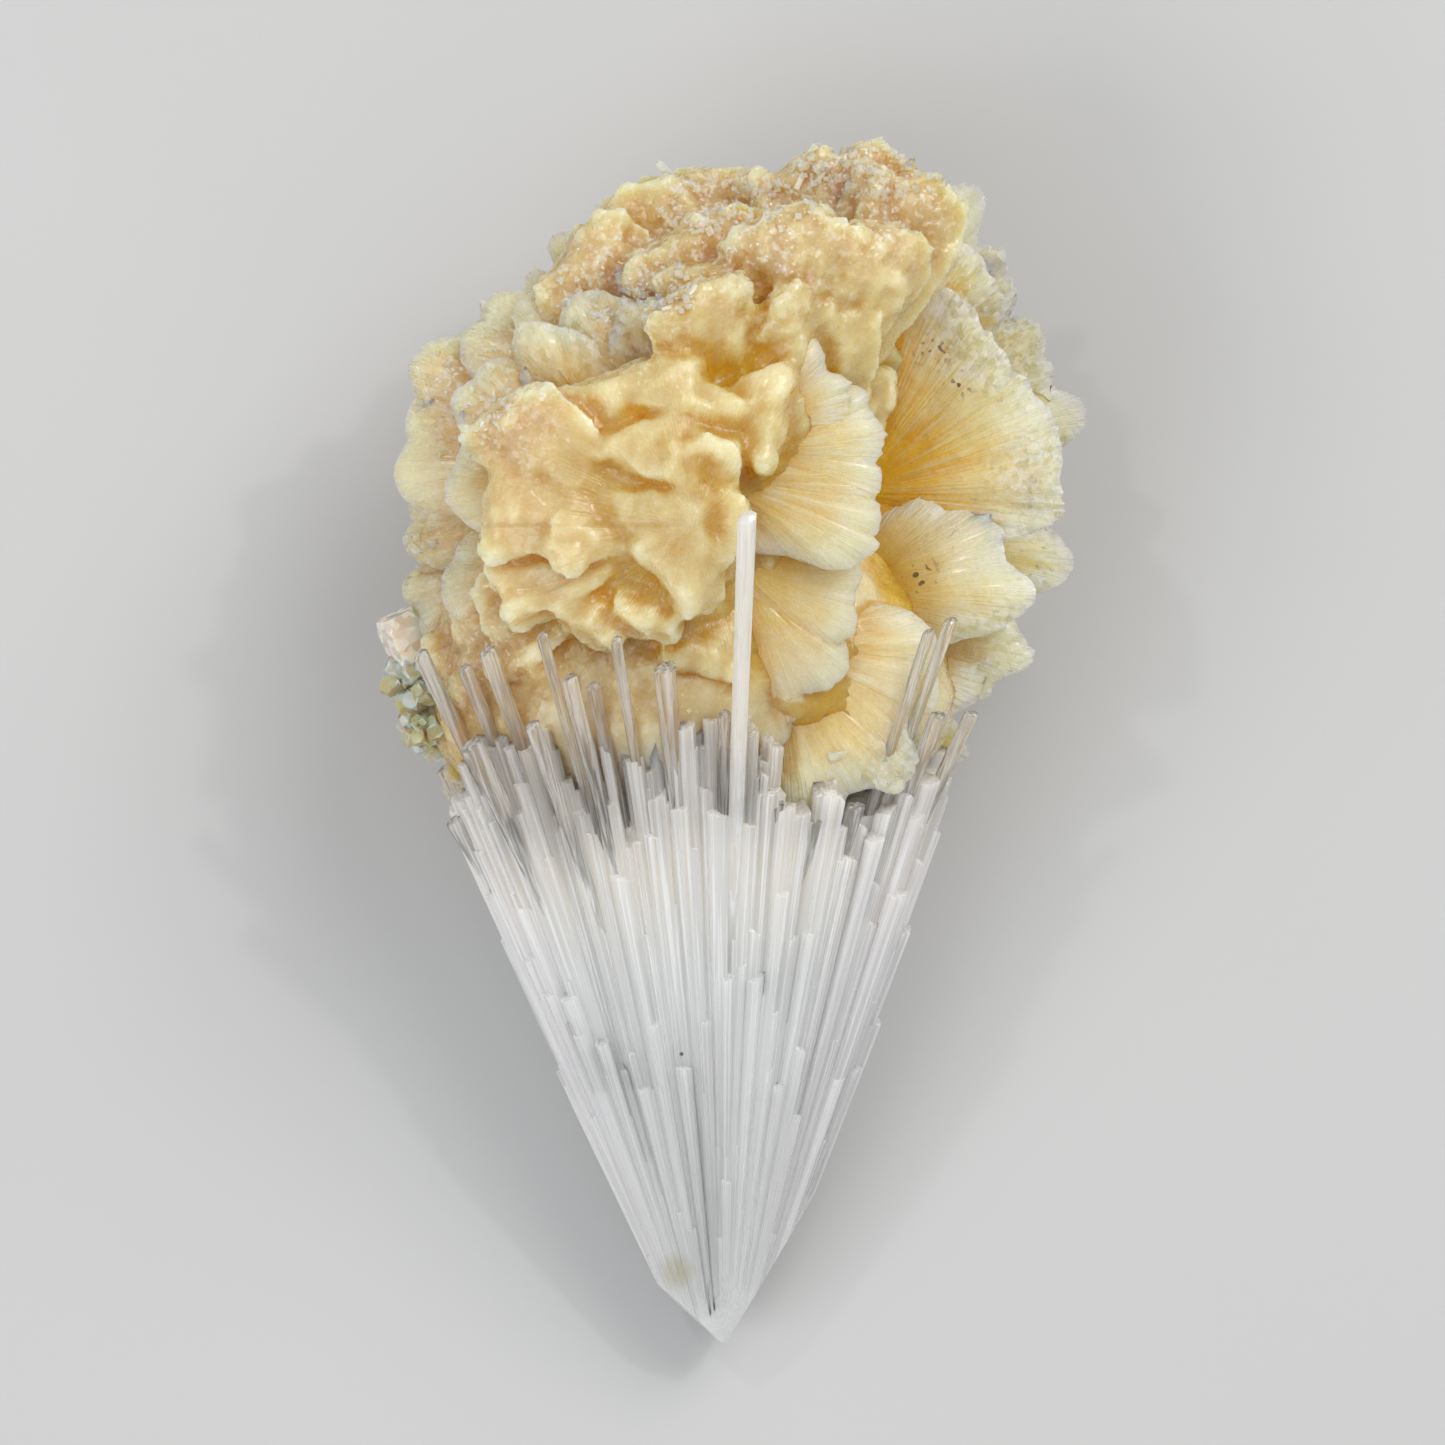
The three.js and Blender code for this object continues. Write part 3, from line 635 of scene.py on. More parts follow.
def melt(wax):
    """Turns fused wedges and lumps into one soft uneven skin, with lines out from its middle."""
    assign(wax.modifiers.new("one skin", "REMESH"), mode="VOXEL", voxel_size=WAX_FINENESS)
    assign(wax.modifiers.new("melt", "SMOOTH"), factor=0.5, iterations=WAX_MELTING)
    displace_in_sizes(wax, WAX_LUMPS)
    places = []
    for vertex in wax.data.vertices:
        away = vertex.co.xy - WAX_MIDDLE
        around = math.atan2(away.y, away.x) * 1.2
        places.append((around, min(0.3, away.length * 0.06 - 0.6), vertex.co.z))
    remember_form(wax)
    keep_grain(wax.data, places)


# Kinds of wedge: shift of its pattern, its narrowing in depth, and the size and height of its lumps.
WEDGE_KINDS = [
    (1.3, -0.5, 0.5, 0.46),
    (5.7, -0.2, 0.4, 0.4),
    (8.2, -0.65, 0.62, 0.5),
]
WEDGE_WIDENING = 0.72


def wedge_master(kind, cuts):
    """One wedge: a block with a narrow root, rounded edges and an uneven blunt end."""
    shift, narrowing, size, height = kind
    bpy.ops.mesh.primitive_cube_add(size=1.9)
    wedge = start_piece("wedge")
    with editing(wedge):
        bpy.ops.mesh.bevel(offset=0.5, segments=4, affect="EDGES")
        bpy.ops.mesh.subdivide(number_cuts=cuts)
    remember_form(wedge)
    lumps = ((shift, shift * 2, shift), (size, size * 1.6, size))
    ridges = ((shift, shift * 3, 0), (0.2, 1.6, 0.5))
    displace(wedge, [(clouds(1), height, *lumps), (angular_lumps(), -0.16, *lumps),
                     (clouds(1), 0.22, *ridges)])
    taper(wedge, WEDGE_WIDENING, lock_z=True)
    taper(wedge, narrowing, lock_x=True)
    apply_modifiers(wedge)
    return wedge


def shard_master(kind):
    """One three-cornered wedge with soft edges and uneven faces, and its corners seen from above."""
    shift, _, size, height = kind
    bpy.ops.mesh.primitive_cylinder_add(vertices=3, radius=1, depth=2)
    shard = start_piece("shard")
    corners = [vertex.co.xy.copy() for vertex in shard.data.vertices if vertex.co.z > 0]
    with editing(shard):
        bpy.ops.mesh.bevel(offset=0.4, segments=2, affect="EDGES")
    assign(shard.modifiers.new("finer", "SUBSURF"), levels=2)
    apply_modifiers(shard)
    remember_form(shard)
    lumps = ((shift, shift * 2, shift), (size, size, size * 2))
    displace(shard, [(clouds(2), height * 0.4, *lumps), (angular_lumps(), -0.06, *lumps)])
    return shard, corners


def axes_between(flat_corners, corners):
    """The ways that a master's X and Y have to take to bring its three corners to others."""
    return [sum((corner * flat[axis] for corner, flat in zip(corners, flat_corners)), Vector()) * 2 / 3
            for axis in (0, 1)]


def place_shard(master, shard, collection):
    """Stretches a master so that its three corners come where the shard's are."""
    piece, flat_corners = master
    *corners, thick = shard
    middle = sum((Vector(corner) for corner in corners), Vector()) / 3
    corners = [(Vector(corner) - middle) * SHARD_REACH for corner in corners]
    side, along = axes_between(flat_corners, corners)
    if side.cross(along).z < 0:
        side, along = axes_between(flat_corners, corners[::-1])
    face = side.cross(along).normalized() * thick
    matrix = Matrix((side, along, face)).transposed().to_4x4()
    copy_of(piece, Matrix.Translation(middle - face) @ matrix, collection)


def lump_master(shift):
    """One soft uneven lump."""
    bpy.ops.mesh.primitive_ico_sphere_add(subdivisions=3, radius=1)
    lump = start_piece("lump")
    remember_form(lump)
    assign(lump.modifiers.new("box", "CAST"), cast_type="CUBOID", factor=0.35)
    displace(lump, [(clouds(2), 0.35, (shift, shift, shift), (0.7, 0.7, 0.7))])
    return lump


def mass_master():
    """The lumpy ball that every rounded mass is stretched from."""
    bpy.ops.mesh.primitive_ico_sphere_add(subdivisions=4, radius=1)
    mass = start_piece("mass")
    remember_form(mass)
    displace(mass, [(clouds(2), 0.14, (0, 0, 0), (0.28, 0.28, 0.28))])
    return mass


def scattered_lumps(rng):
    """Places, turns and sizes of the soft lumps, sunk into the masses that they cover."""
    for index, count in LUMPY_MASSES:
        centre, half = HEAD_MASSES[index]
        for place, out in spread_over(centre, half, count, -0.1, 0.97, rng):
            size = rng.uniform(*LUMP_SIZES)
            wide, high = size * rng.uniform(0.5, 1.0), size * rng.uniform(0.6, 1.0)
            stretch = Matrix.Diagonal((size, wide, high, 1))
            turn = Matrix.Rotation(rng.uniform(0, math.pi), 4, out)
            lean = out.to_track_quat("Z", "Y").to_matrix().to_4x4()
            yield Matrix.Translation(place - out * size * 0.3) @ turn @ lean @ stretch


def waxy_front(parts, rng):
    """The melted front of the head: masses with wedges, shards and lumps on them."""
    wedges = [wedge_master(kind, 2) for kind in WEDGE_KINDS]
    chips = [wedge_master(kind, 1) for kind in WEDGE_KINDS]
    for wedge in WEDGES:
        place_wedge(rng.choice(wedges), wedge, parts)
        place_wedge(rng.choice(chips), sister_of(wedge, rng), parts)
    shards = [shard_master(kind) for kind in WEDGE_KINDS]
    for shard in SHARDS:
        place_shard(rng.choice(shards), shard, parts)
    lumps = [lump_master(shift) for shift in LUMP_SHIFTS]
    for matrix in scattered_lumps(rng):
        copy_of(rng.choice(lumps), matrix, parts)
    wax = fused("wax", parts, parts.objects[0])
    melt(wax)
    fill_attribute(wax.data, "tone", WAX_TONE)
    remove(wedges + chips + lumps + [shard for shard, _ in shards])
    return wax


def stilbite_head():
    rng = random.Random(11)
    broad = shell_masters(LOBE_RIM, 144, 16, 1.3, len(LOBES))
    large = shell_masters(RIM_RIM, 84, 10, 40.1)
    middling = shell_masters(RIM_RIM, 60, 8, 51.7)
    small = shell_masters(SMALL_RIM, 36, 6, 63.2)
    parts = new_collection("stilbite parts")
    wax_parts = new_collection("waxy parts")
    mass = mass_master()
    for i, (centre, half) in enumerate(HEAD_MASSES):
        matrix = Matrix.Translation(centre) @ Matrix.Diagonal((*half, 1))
        first = copy_of(mass, matrix, wax_parts if i in WAXY_MASSES else parts)
    move_to(waxy_front(wax_parts, rng), parts)
    for petal in PETALS:
        tone = SHELL_TONE + rng.uniform(*TONE_RANGE)
        place_shell(rng.choice(large), petal, parts, tone)
        beside = sister_of(petal, rng)
        place_shell(rng.choice(middling), beside, parts, tone)
    for master, lobe in zip(broad, LOBES):
        place_shell(master, lobe, parts)
    for i, fan in enumerate(FANS):
        place_fan(fan, i * 3.7, parts)
    for petal in scattered_petals(rng):
        place_shell(rng.choice(small), petal, parts, SHELL_TONE + rng.uniform(*TONE_RANGE))
    for shell in SIDE_SHELLS:
        place_shell(rng.choice(middling), shell, parts)
    head = fused("stilbite_petals", parts, first)
    remove([mass] + broad + large + middling + small)
    displace_in_sizes(head, RELIEF)
    return head


def block_master(corner):
    """A small block with its corners cut off, as the tiny crystals are."""
    bpy.ops.mesh.primitive_cube_add(size=2)
    block = start_piece("block")
    if corner:
        with editing(block):
            bpy.ops.mesh.bevel(offset=corner, segments=1, affect="VERTICES")
    remember_form(block)
    return block


def place_block(block, place, size, rng, collection):
    """Places a small clear block, turned any way."""
    axis = Vector((rng.gauss(0, 1) for _ in range(3))).normalized()
    turn = Matrix.Rotation(rng.uniform(0, math.pi), 4, axis)
    matrix = Matrix.Translation(place) @ turn @ Matrix.Diagonal((*size, 1))
    return copy_of(block, matrix, collection, rng.random(), 1.0)


def add_frost(head, surface):
    """Grows tiny clear crystals on the head where the photo shows them glitter."""
    rng = random.Random(23)
    block = block_master(0)
    rod = prism_master(6, 0.0, 0.1, 0.9)
    parts = new_collection("frost parts")
    start, end, width = LONE_CRYSTAL
    prism_between(rod, Vector(start), Vector(end), width, 0, 0.5, 1.0, parts)
    for middle, reach, count, smallest, largest in FROST_PLACES:
        for _ in range(count):
            around, away = rng.uniform(0, 2 * math.pi), math.sqrt(rng.random())
            x = middle[0] + reach[0] * away * math.cos(around)
            y = middle[1] + reach[1] * away * math.sin(around)
            place = surface.ray_cast(Vector((x, y, ABOVE_ALL)), Vector((0, 0, -1)))[0]
            if place is None or place.z < FROST_LOWEST:
                continue
            size = rng.uniform(smallest, largest)
            place.z -= size * 0.3
            sizes = (size, size * rng.uniform(0.5, 1.2), size * rng.uniform(0.8, 2.4))
            place_block(block, place, sizes, rng, parts)
    move_to(head, parts)
    fused(head.name, parts, head)
    remove([block, rod])


def apophyllite_crust():
    rng = random.Random(31)
    block = block_master(CRUST_CORNER)
    parts = new_collection("crust parts")
    for middle, size in CRUST_CLUSTERS:
        for _ in range(CRYSTALS_TO_A_CLUSTER):
            place = Vector((axis + rng.uniform(-0.65, 0.65) * size for axis in middle))
            reach = size * rng.uniform(0.22, 0.52)
            last = place_block(block, place, (reach, reach, reach * rng.uniform(0.7, 1.2)), rng, parts)
    middle, half, turns = PALE_BLOCK
    turn = Matrix.Rotation(turns[2], 4, "Z") @ Matrix.Rotation(turns[1], 4, "Y")
    turn = turn @ Matrix.Rotation(turns[0], 4, "X")
    copy_of(block, Matrix.Translation(middle) @ turn @ Matrix.Diagonal((*half, 1)), parts)
    crust = fused("apophyllite_crystals", parts, last)
    remove([block])
    return crust


RIDGE_STEPS = 26
RIDGE_HEIGHT = 0.7


def neighbour_mean(values, edges, steps):
    """Evens values out between neighbouring vertices."""
    degree = np.bincount(edges.ravel(), minlength=len(values)) + 1.0
    if values.ndim == 2:
        degree = degree[:, None]
    for _ in range(steps):
        total = values.copy()
        np.add.at(total, edges[:, 0], values[edges[:, 1]])
        np.add.at(total, edges[:, 1], values[edges[:, 0]])
        values = total / degree
    return values


def keep_values(mesh, name, values):
    """Keeps one value to a vertex as an attribute that the finishes read."""
    mesh.attributes.new(name, "FLOAT", "POINT").data.foreach_set("value", values)


def edges_of(mesh):
    edges = np.zeros(len(mesh.edges) * 2, np.int32)
    mesh.edges.foreach_get("vertices", edges)
    return edges.reshape(-1, 2)


def remember_ridges(piece):
    """Keeps as an attribute how far each point stands out from the form around it, from -1 to 1."""
    mesh = piece.data
    places = np.zeros(len(mesh.vertices) * 3, np.float32)
    normals = np.zeros(len(mesh.vertices) * 3, np.float32)
    mesh.vertices.foreach_get("co", places)
    mesh.vertices.foreach_get("normal", normals)
    places, normals = places.reshape(-1, 3), normals.reshape(-1, 3)
    even = neighbour_mean(places, edges_of(mesh), RIDGE_STEPS)
    height = ((places - even) * normals).sum(axis=1) / RIDGE_HEIGHT
    height = neighbour_mean(np.clip(height, -1, 1), edges_of(mesh), 1).astype(np.float32)
    keep_values(mesh, "ridge", height)


OPENNESS_RAYS = 12
OPENNESS_REACH = 5.0
# How far above the skin the rays start, and how strongly they follow its normal.
OPENNESS_LIFT = 0.15
OPENNESS_LEAN = 1.02
OPENNESS_PERCENTILES = (4, 96)


def remember_openness(piece, surface):
    """Keeps as an attribute how open each point lies, from 0 deep in a crevice to 1."""
    mesh = piece.data
    rng = random.Random(3)
    rays = [Vector((rng.gauss(0, 1) for _ in range(3))).normalized() for _ in range(OPENNESS_RAYS)]
    open_share = np.zeros(len(mesh.vertices), np.float32)
    for vertex in mesh.vertices:
        normal = vertex.normal
        start = vertex.co + normal * OPENNESS_LIFT
        reached = 0.0
        for ray in rays:
            way = (ray + normal * OPENNESS_LEAN).normalized()
            distance = surface.ray_cast(start, way, OPENNESS_REACH)[3]
            reached += 1.0 if distance is None else distance / OPENNESS_REACH
        open_share[vertex.index] = reached / OPENNESS_RAYS
    open_share = neighbour_mean(open_share, edges_of(mesh), 2)
    least, most = np.percentile(open_share, OPENNESS_PERCENTILES)
    open_share = np.clip((open_share - least) / (most - least), 0, 1).astype(np.float32)
    keep_values(mesh, "open", open_share)


# Where the stilbite is sugary with frost: middle and reach seen from above, and how much.
SUGARY_PLACES = [
    ((12, 96), 9, 1.0), ((1, 93), 9, 1.0), ((-9, 87), 8, 1.0), ((-20, 80), 9, 0.9), ((24, 85), 8, 0.8),
    ((27, 72), 6, 0.9), ((24, 58), 6, 0.7), ((-26, 66), 6, 0.8), ((-20, 57), 7, 0.5), ((-9, 56), 6, 0.4),
    ((4, 89), 8, 0.4), ((13.7, 48.5), 4, 0.6),
]


def remember_frost(piece):
    """Keeps as an attribute how much each point is covered with frost."""
    mesh = piece.data
    frost = np.zeros(len(mesh.vertices), np.float32)
    for vertex in mesh.vertices:
        for middle, reach, most in SUGARY_PLACES:
            share = most * max(0.0, 1 - (vertex.co.xy - Vector(middle)).length / reach)
            frost[vertex.index] = max(frost[vertex.index], min(1.0, share * 1.6))
    keep_values(mesh, "frost", frost)


# The scolecite spray.

def way_out(axis, right, up):
    """The way that points so many degrees right of and above an axis, itself in degrees."""
    across, above = math.radians(axis[0] + right), math.radians(axis[1] + up)
    flat = math.cos(above)
    return Vector((math.sin(across) * flat, math.cos(across) * flat, math.sin(above)))


def cone_way(right, up):
    return way_out(CONE_AXIS_DEG, right, up)


def prism_master(sides, slope, point, root):
    """One crystal of unit width from y 0 to y 1, narrower at its root, with a sloping end."""
    bpy.ops.mesh.primitive_cylinder_add(
        vertices=sides, radius=0.5, depth=1, location=(0, 0.5, 0), rotation=(-math.pi / 2, 0, 0))
    prism = start_piece("prism")
    with editing(prism):
        form = bmesh.from_edit_mesh(prism.data)
        form.select_mode = {"FACE"}
        for face in form.faces:
            face.select = face.normal.y > 0.9
        form.select_flush_mode()
        bpy.ops.mesh.inset(thickness=0.16, depth=0)
        bpy.ops.transform.translate(value=(0, point, 0))
    for vertex in prism.data.vertices:
        if vertex.co.y > 0.5:
            vertex.co.y += slope * vertex.co.x
        else:
            vertex.co.x *= root
            vertex.co.z *= root
    remember_form(prism)
    return prism


def prism_between(master, start, end, width, roll, tone, clear, collection):
    size = Matrix.Diagonal((width, (end - start).length, width, 1))
    turn = basis_between(start, end, UP) @ Matrix.Rotation(roll, 4, "Y")
    copy_of(master, Matrix.Translation(start) @ turn @ size, collection, tone, clear)


def cone_body():
    """The body that the crystals merge into: a blunt cone, flattened in depth."""
    bpy.ops.mesh.primitive_cone_add(
        vertices=CONE_BODY_SIDES, radius1=CONE_BODY_START * CONE_BODY_SHARE,
        radius2=CONE_BODY_END * CONE_BODY_SHARE, depth=CONE_BODY_END - CONE_BODY_START,
        location=(0, (CONE_BODY_START + CONE_BODY_END) / 2, 0), rotation=(-math.pi / 2, 0, 0))
    body = start_piece("cone body")
    remember_form(body)
    wide = math.tan(math.radians(CONE_HALF_WIDTH_DEG))
    deep = math.tan(math.radians(CONE_HALF_DEPTH_DEG))
    turn = basis_between(CONE_POINT, CONE_POINT + cone_way(0, 0), UP)
    body.data.transform(Matrix.Translation(CONE_POINT) @ turn @ Matrix.Diagonal((wide, 1, deep, 1)))
    return body


def cut_root(piece):
    with editing(piece):
        for place, away in ROOT_CUTS:
            bpy.ops.mesh.select_all(action="SELECT")
            bpy.ops.mesh.bisect(plane_co=place, plane_no=away, use_fill=True, clear_outer=True)


def scolecite_spray():
    rng = random.Random(5)
    flush = [prism_master(*kind, CRYSTAL_START_SHARE) for kind in CRYSTAL_KINDS]
    standing = prism_master(*STANDING_KIND, STANDING_ROOT_SHARE)
    parts = new_collection("scolecite parts")
    body = cone_body()
    move_to(body, parts)
    for count, out, shortest, longest in CRYSTAL_LAYERS:
        for i in range(count):
            around = (i + rng.uniform(0, 0.9)) / count * 2 * math.pi
            tip = rng.uniform(shortest, longest)
            reach = out + rng.uniform(-0.02, 0.02)
            ray = tip * cone_way(math.cos(around) * CONE_HALF_WIDTH_DEG * reach,
                                 math.sin(around) * CONE_HALF_DEPTH_DEG * reach)
            clear = rng.uniform(*CRYSTAL_CLEAR)
            master = rng.choice(flush)
            width = tip * CRYSTAL_WIDTH_PER_MM * rng.uniform(*CRYSTAL_WIDTHS)
            prism_between(master, CONE_POINT + ray * CRYSTAL_START_SHARE, CONE_POINT + ray, width,
                          rng.uniform(*ROLLS), rng.random(), clear, parts)
    count, outs, tips, (left, right) = FENCE
    for i in range(count):
        side = left + (right - left) * (i + rng.random()) / count
        reach = rng.uniform(*outs)
        up = math.sqrt(max(0.02, 1 - side * side)) * reach
        way = cone_way(side * CONE_HALF_WIDTH_DEG * reach, up * CONE_HALF_DEPTH_DEG)
        tip = rng.uniform(*tips)
        master = rng.choice(flush)
        width = rng.uniform(*FENCE_WIDTHS)
        prism_between(master, CONE_POINT + way * FENCE_START, CONE_POINT + way * tip, width,
                      rng.uniform(*ROLLS), rng.random(), rng.uniform(*FENCE_CLEAR), parts)
    for right, up, tip, width in STANDING_CRYSTALS:
        begin = way_out(SPRAY_AXIS_DEG, right * STANDING_START_SHARE, up * STANDING_START_SHARE)
        end = way_out(SPRAY_AXIS_DEG, right, up)
        prism_between(standing, SPRAY_POINT + begin * STANDING_START, SPRAY_POINT + end * tip, width,
                      STANDING_ROLL, rng.random(), TALL_CLEAR if tip > TALL_TIP else STANDING_CLEAR, parts)
    spray = fused("scolecite_crystals", parts, body)
    remove(flush + [standing])
    cut_root(spray)
    return spray


# Finishes.

class Finish:
    """A material whose pattern nodes are added one by one."""

    def __init__(self, name):
        self.material = bpy.data.materials.new(name)
        self.material.use_nodes = True
        self.tree = self.material.node_tree
        self.shader = self.tree.nodes["Principled BSDF"]

    def add(self, kind, values=(), **settings):
        """Adds a node and puts values or outputs on its inputs, by their names or in their order."""
        node = assign(self.tree.nodes.new(kind), **settings)
        self.fill(node, values if isinstance(values, dict) else dict(enumerate(values)))
        return node

    def fill(self, node, values):
        """Links outputs to a node's inputs, or sets the inputs' own values."""
        for name, value in values.items():
            socket = node.inputs[name]
            if isinstance(value, bpy.types.NodeSocket):
                self.tree.links.new(value, socket)
            elif isinstance(value, tuple) and socket.type == "RGBA":
                socket.default_value = (*value, 1)
            else:
                socket.default_value = value

    def set(self, **values):
        """Puts values on the main shader, with underscores for the spaces in the names."""
        self.fill(self.shader, {name.replace("_", " "): value for name, value in values.items()})

    def attribute(self, name, output="Fac"):
        return self.add("ShaderNodeAttribute", attribute_name=name).outputs[output]

    def places(self):
        return self.add("ShaderNodeTexCoord").outputs["Object"]

    def math(self, operation, a, b=0.0, c=0.0, clamp=False):
        return self.add("ShaderNodeMath", (a, b, c), operation=operation, use_clamp=clamp).outputs[0]

    def times(self, *factors):
        """The product of two or more values."""
        product = factors[0]
        for factor in factors[1:]:
            product = self.math("MULTIPLY", product, factor)
        return product

    def weighted(self, start, *shares):
        """Adds values to a start, each times its share."""
        for value, share in shares:
            start = self.math("MULTIPLY_ADD", value, share, start)
        return start

    def vector(self, operation, a, b=(0, 0, 0)):
        node = self.add("ShaderNodeVectorMath", (a, b), operation=operation)
        return node.outputs["Value" if operation in ("LENGTH", "DISTANCE", "DOT_PRODUCT") else "Vector"]

    def split(self, value):
        return self.add("ShaderNodeSeparateXYZ", (value,)).outputs

    def join(self, x, y, z):
        return self.add("ShaderNodeCombineXYZ", (x, y, z)).outputs[0]

    def noise(self, place, scale, detail=2.0, roughness=0.5, extra=None):
        values = {"Vector": place, "Scale": scale, "Detail": detail, "Roughness": roughness}
        if extra is not None:
            values["W"] = extra
        dimensions = "4D" if extra is not None else "3D"
        return self.add("ShaderNodeTexNoise", values, noise_dimensions=dimensions).outputs["Fac"]

    def span(self, value, low, high, to_low=0.0, to_high=1.0):
        """Maps a range of a value to another, without going past its ends."""
        values = (value, low, high, to_low, to_high)
        return self.add("ShaderNodeMapRange", values, interpolation_type="SMOOTHSTEP").outputs[0]

    def blend(self, factor, a, b):
        node = self.add("ShaderNodeMix", {"Factor": factor}, data_type="RGBA")
        numbers = [number for number, socket in enumerate(node.inputs) if socket.type == "RGBA"]
        self.fill(node, dict(zip(numbers, (a, b))))
        return [socket for socket in node.outputs if socket.type == "RGBA"][0]

    def cover(self, color, tint, *shares):
        """Lays a tint over a colour, as strongly as the product of the shares."""
        return self.blend(self.times(*shares), color, tint)

    def near(self, middle, reach, close=0.0):
        """From 0 at its reach to 1 close to a middle seen from above, all in millimetres."""
        x_place, y_place, _ = self.split(self.places())
        middle = TO_FRAME @ Vector((*middle, 0))
        away = self.vector("DISTANCE", self.join(x_place, y_place, 0.0), (middle.x, middle.y, 0))
        return self.span(away, reach * MM, close * MM)

    def facets(self, place, scale):
        """Height in metres of small flat faces that each lean their own way."""
        node = self.add("ShaderNodeTexVoronoi", {"Vector": place, "Scale": scale})
        lean = self.vector("SUBTRACT", node.outputs["Color"], (0.5, 0.5, 0.5))
        return self.vector("DOT_PRODUCT", self.vector("SUBTRACT", place, node.outputs["Position"]), lean)

    def bump(self, height, distance, strength=1.0, normal=None):
        values = {"Strength": strength, "Distance": distance, "Height": height}
        if normal is not None:
            values["Normal"] = normal
        return self.add("ShaderNodeBump", values).outputs["Normal"]


DEEP_AMBER = (0.64, 0.365, 0.015)
WAX_GOLD = (0.55, 0.335, 0.055)
CREAM = (0.61, 0.485, 0.22)
WAX_BROWN = (0.52, 0.31, 0.08)
FROST_WHITE = (0.83, 0.78, 0.66)
PEACH = (0.64, 0.40, 0.20)
SUGAR_TAN = (0.62, 0.43, 0.24)
CLEAR_WHITE = (0.86, 0.82, 0.74)
PAINTED_GLINT_WHITE = (0.92, 0.90, 0.84)
SPECK_BROWN = (0.12, 0.07, 0.03)
RIDGE_HIGHLIGHT_CREAM = (0.78, 0.69, 0.46)
SHELL_GOLD = (0.78, 0.53, 0.13)
SHELL_CREAM = (0.81, 0.64, 0.32)
FAN_GOLD = (0.97, 0.55, 0.03)
FAN_CREAM = (0.92, 0.76, 0.43)
HOLLOW_SHADE_GOLD = (0.66, 0.40, 0.03)
SHELL_WHITE = (0.97, 0.94, 0.86)

# Where dark specks are scattered: middle in millimetres seen from above, and reach.
SPECK_PLACES = [((16.1, 64.2), 2.6), ((19.0, 67.5), 1.8), ((17.2, 82.6), 2.4), ((19.4, 80.0), 1.8)]
# The hollow, painted deeper gold as its shade: its middle, its reach and the height that it ends at.
HOLLOW_MIDDLE = (10.8, 64.0)
HOLLOW_REACH = 6.5
HOLLOW_TOP = 31
# Patterns: how fine they are in the frame's metres, their detail and their roughness.
PATCHES = (220.0, 2.0, 0.6)
MOTTLE = (500.0, 2.0, 0.55)
CRUMBS = (900.0, 2.0, 0.7)
GRIT = (2400.0, 1.0, 0.6)
SPECKS = (1900.0, 0.0)
PAINTED_GLINTS = (2600.0, 0.0)


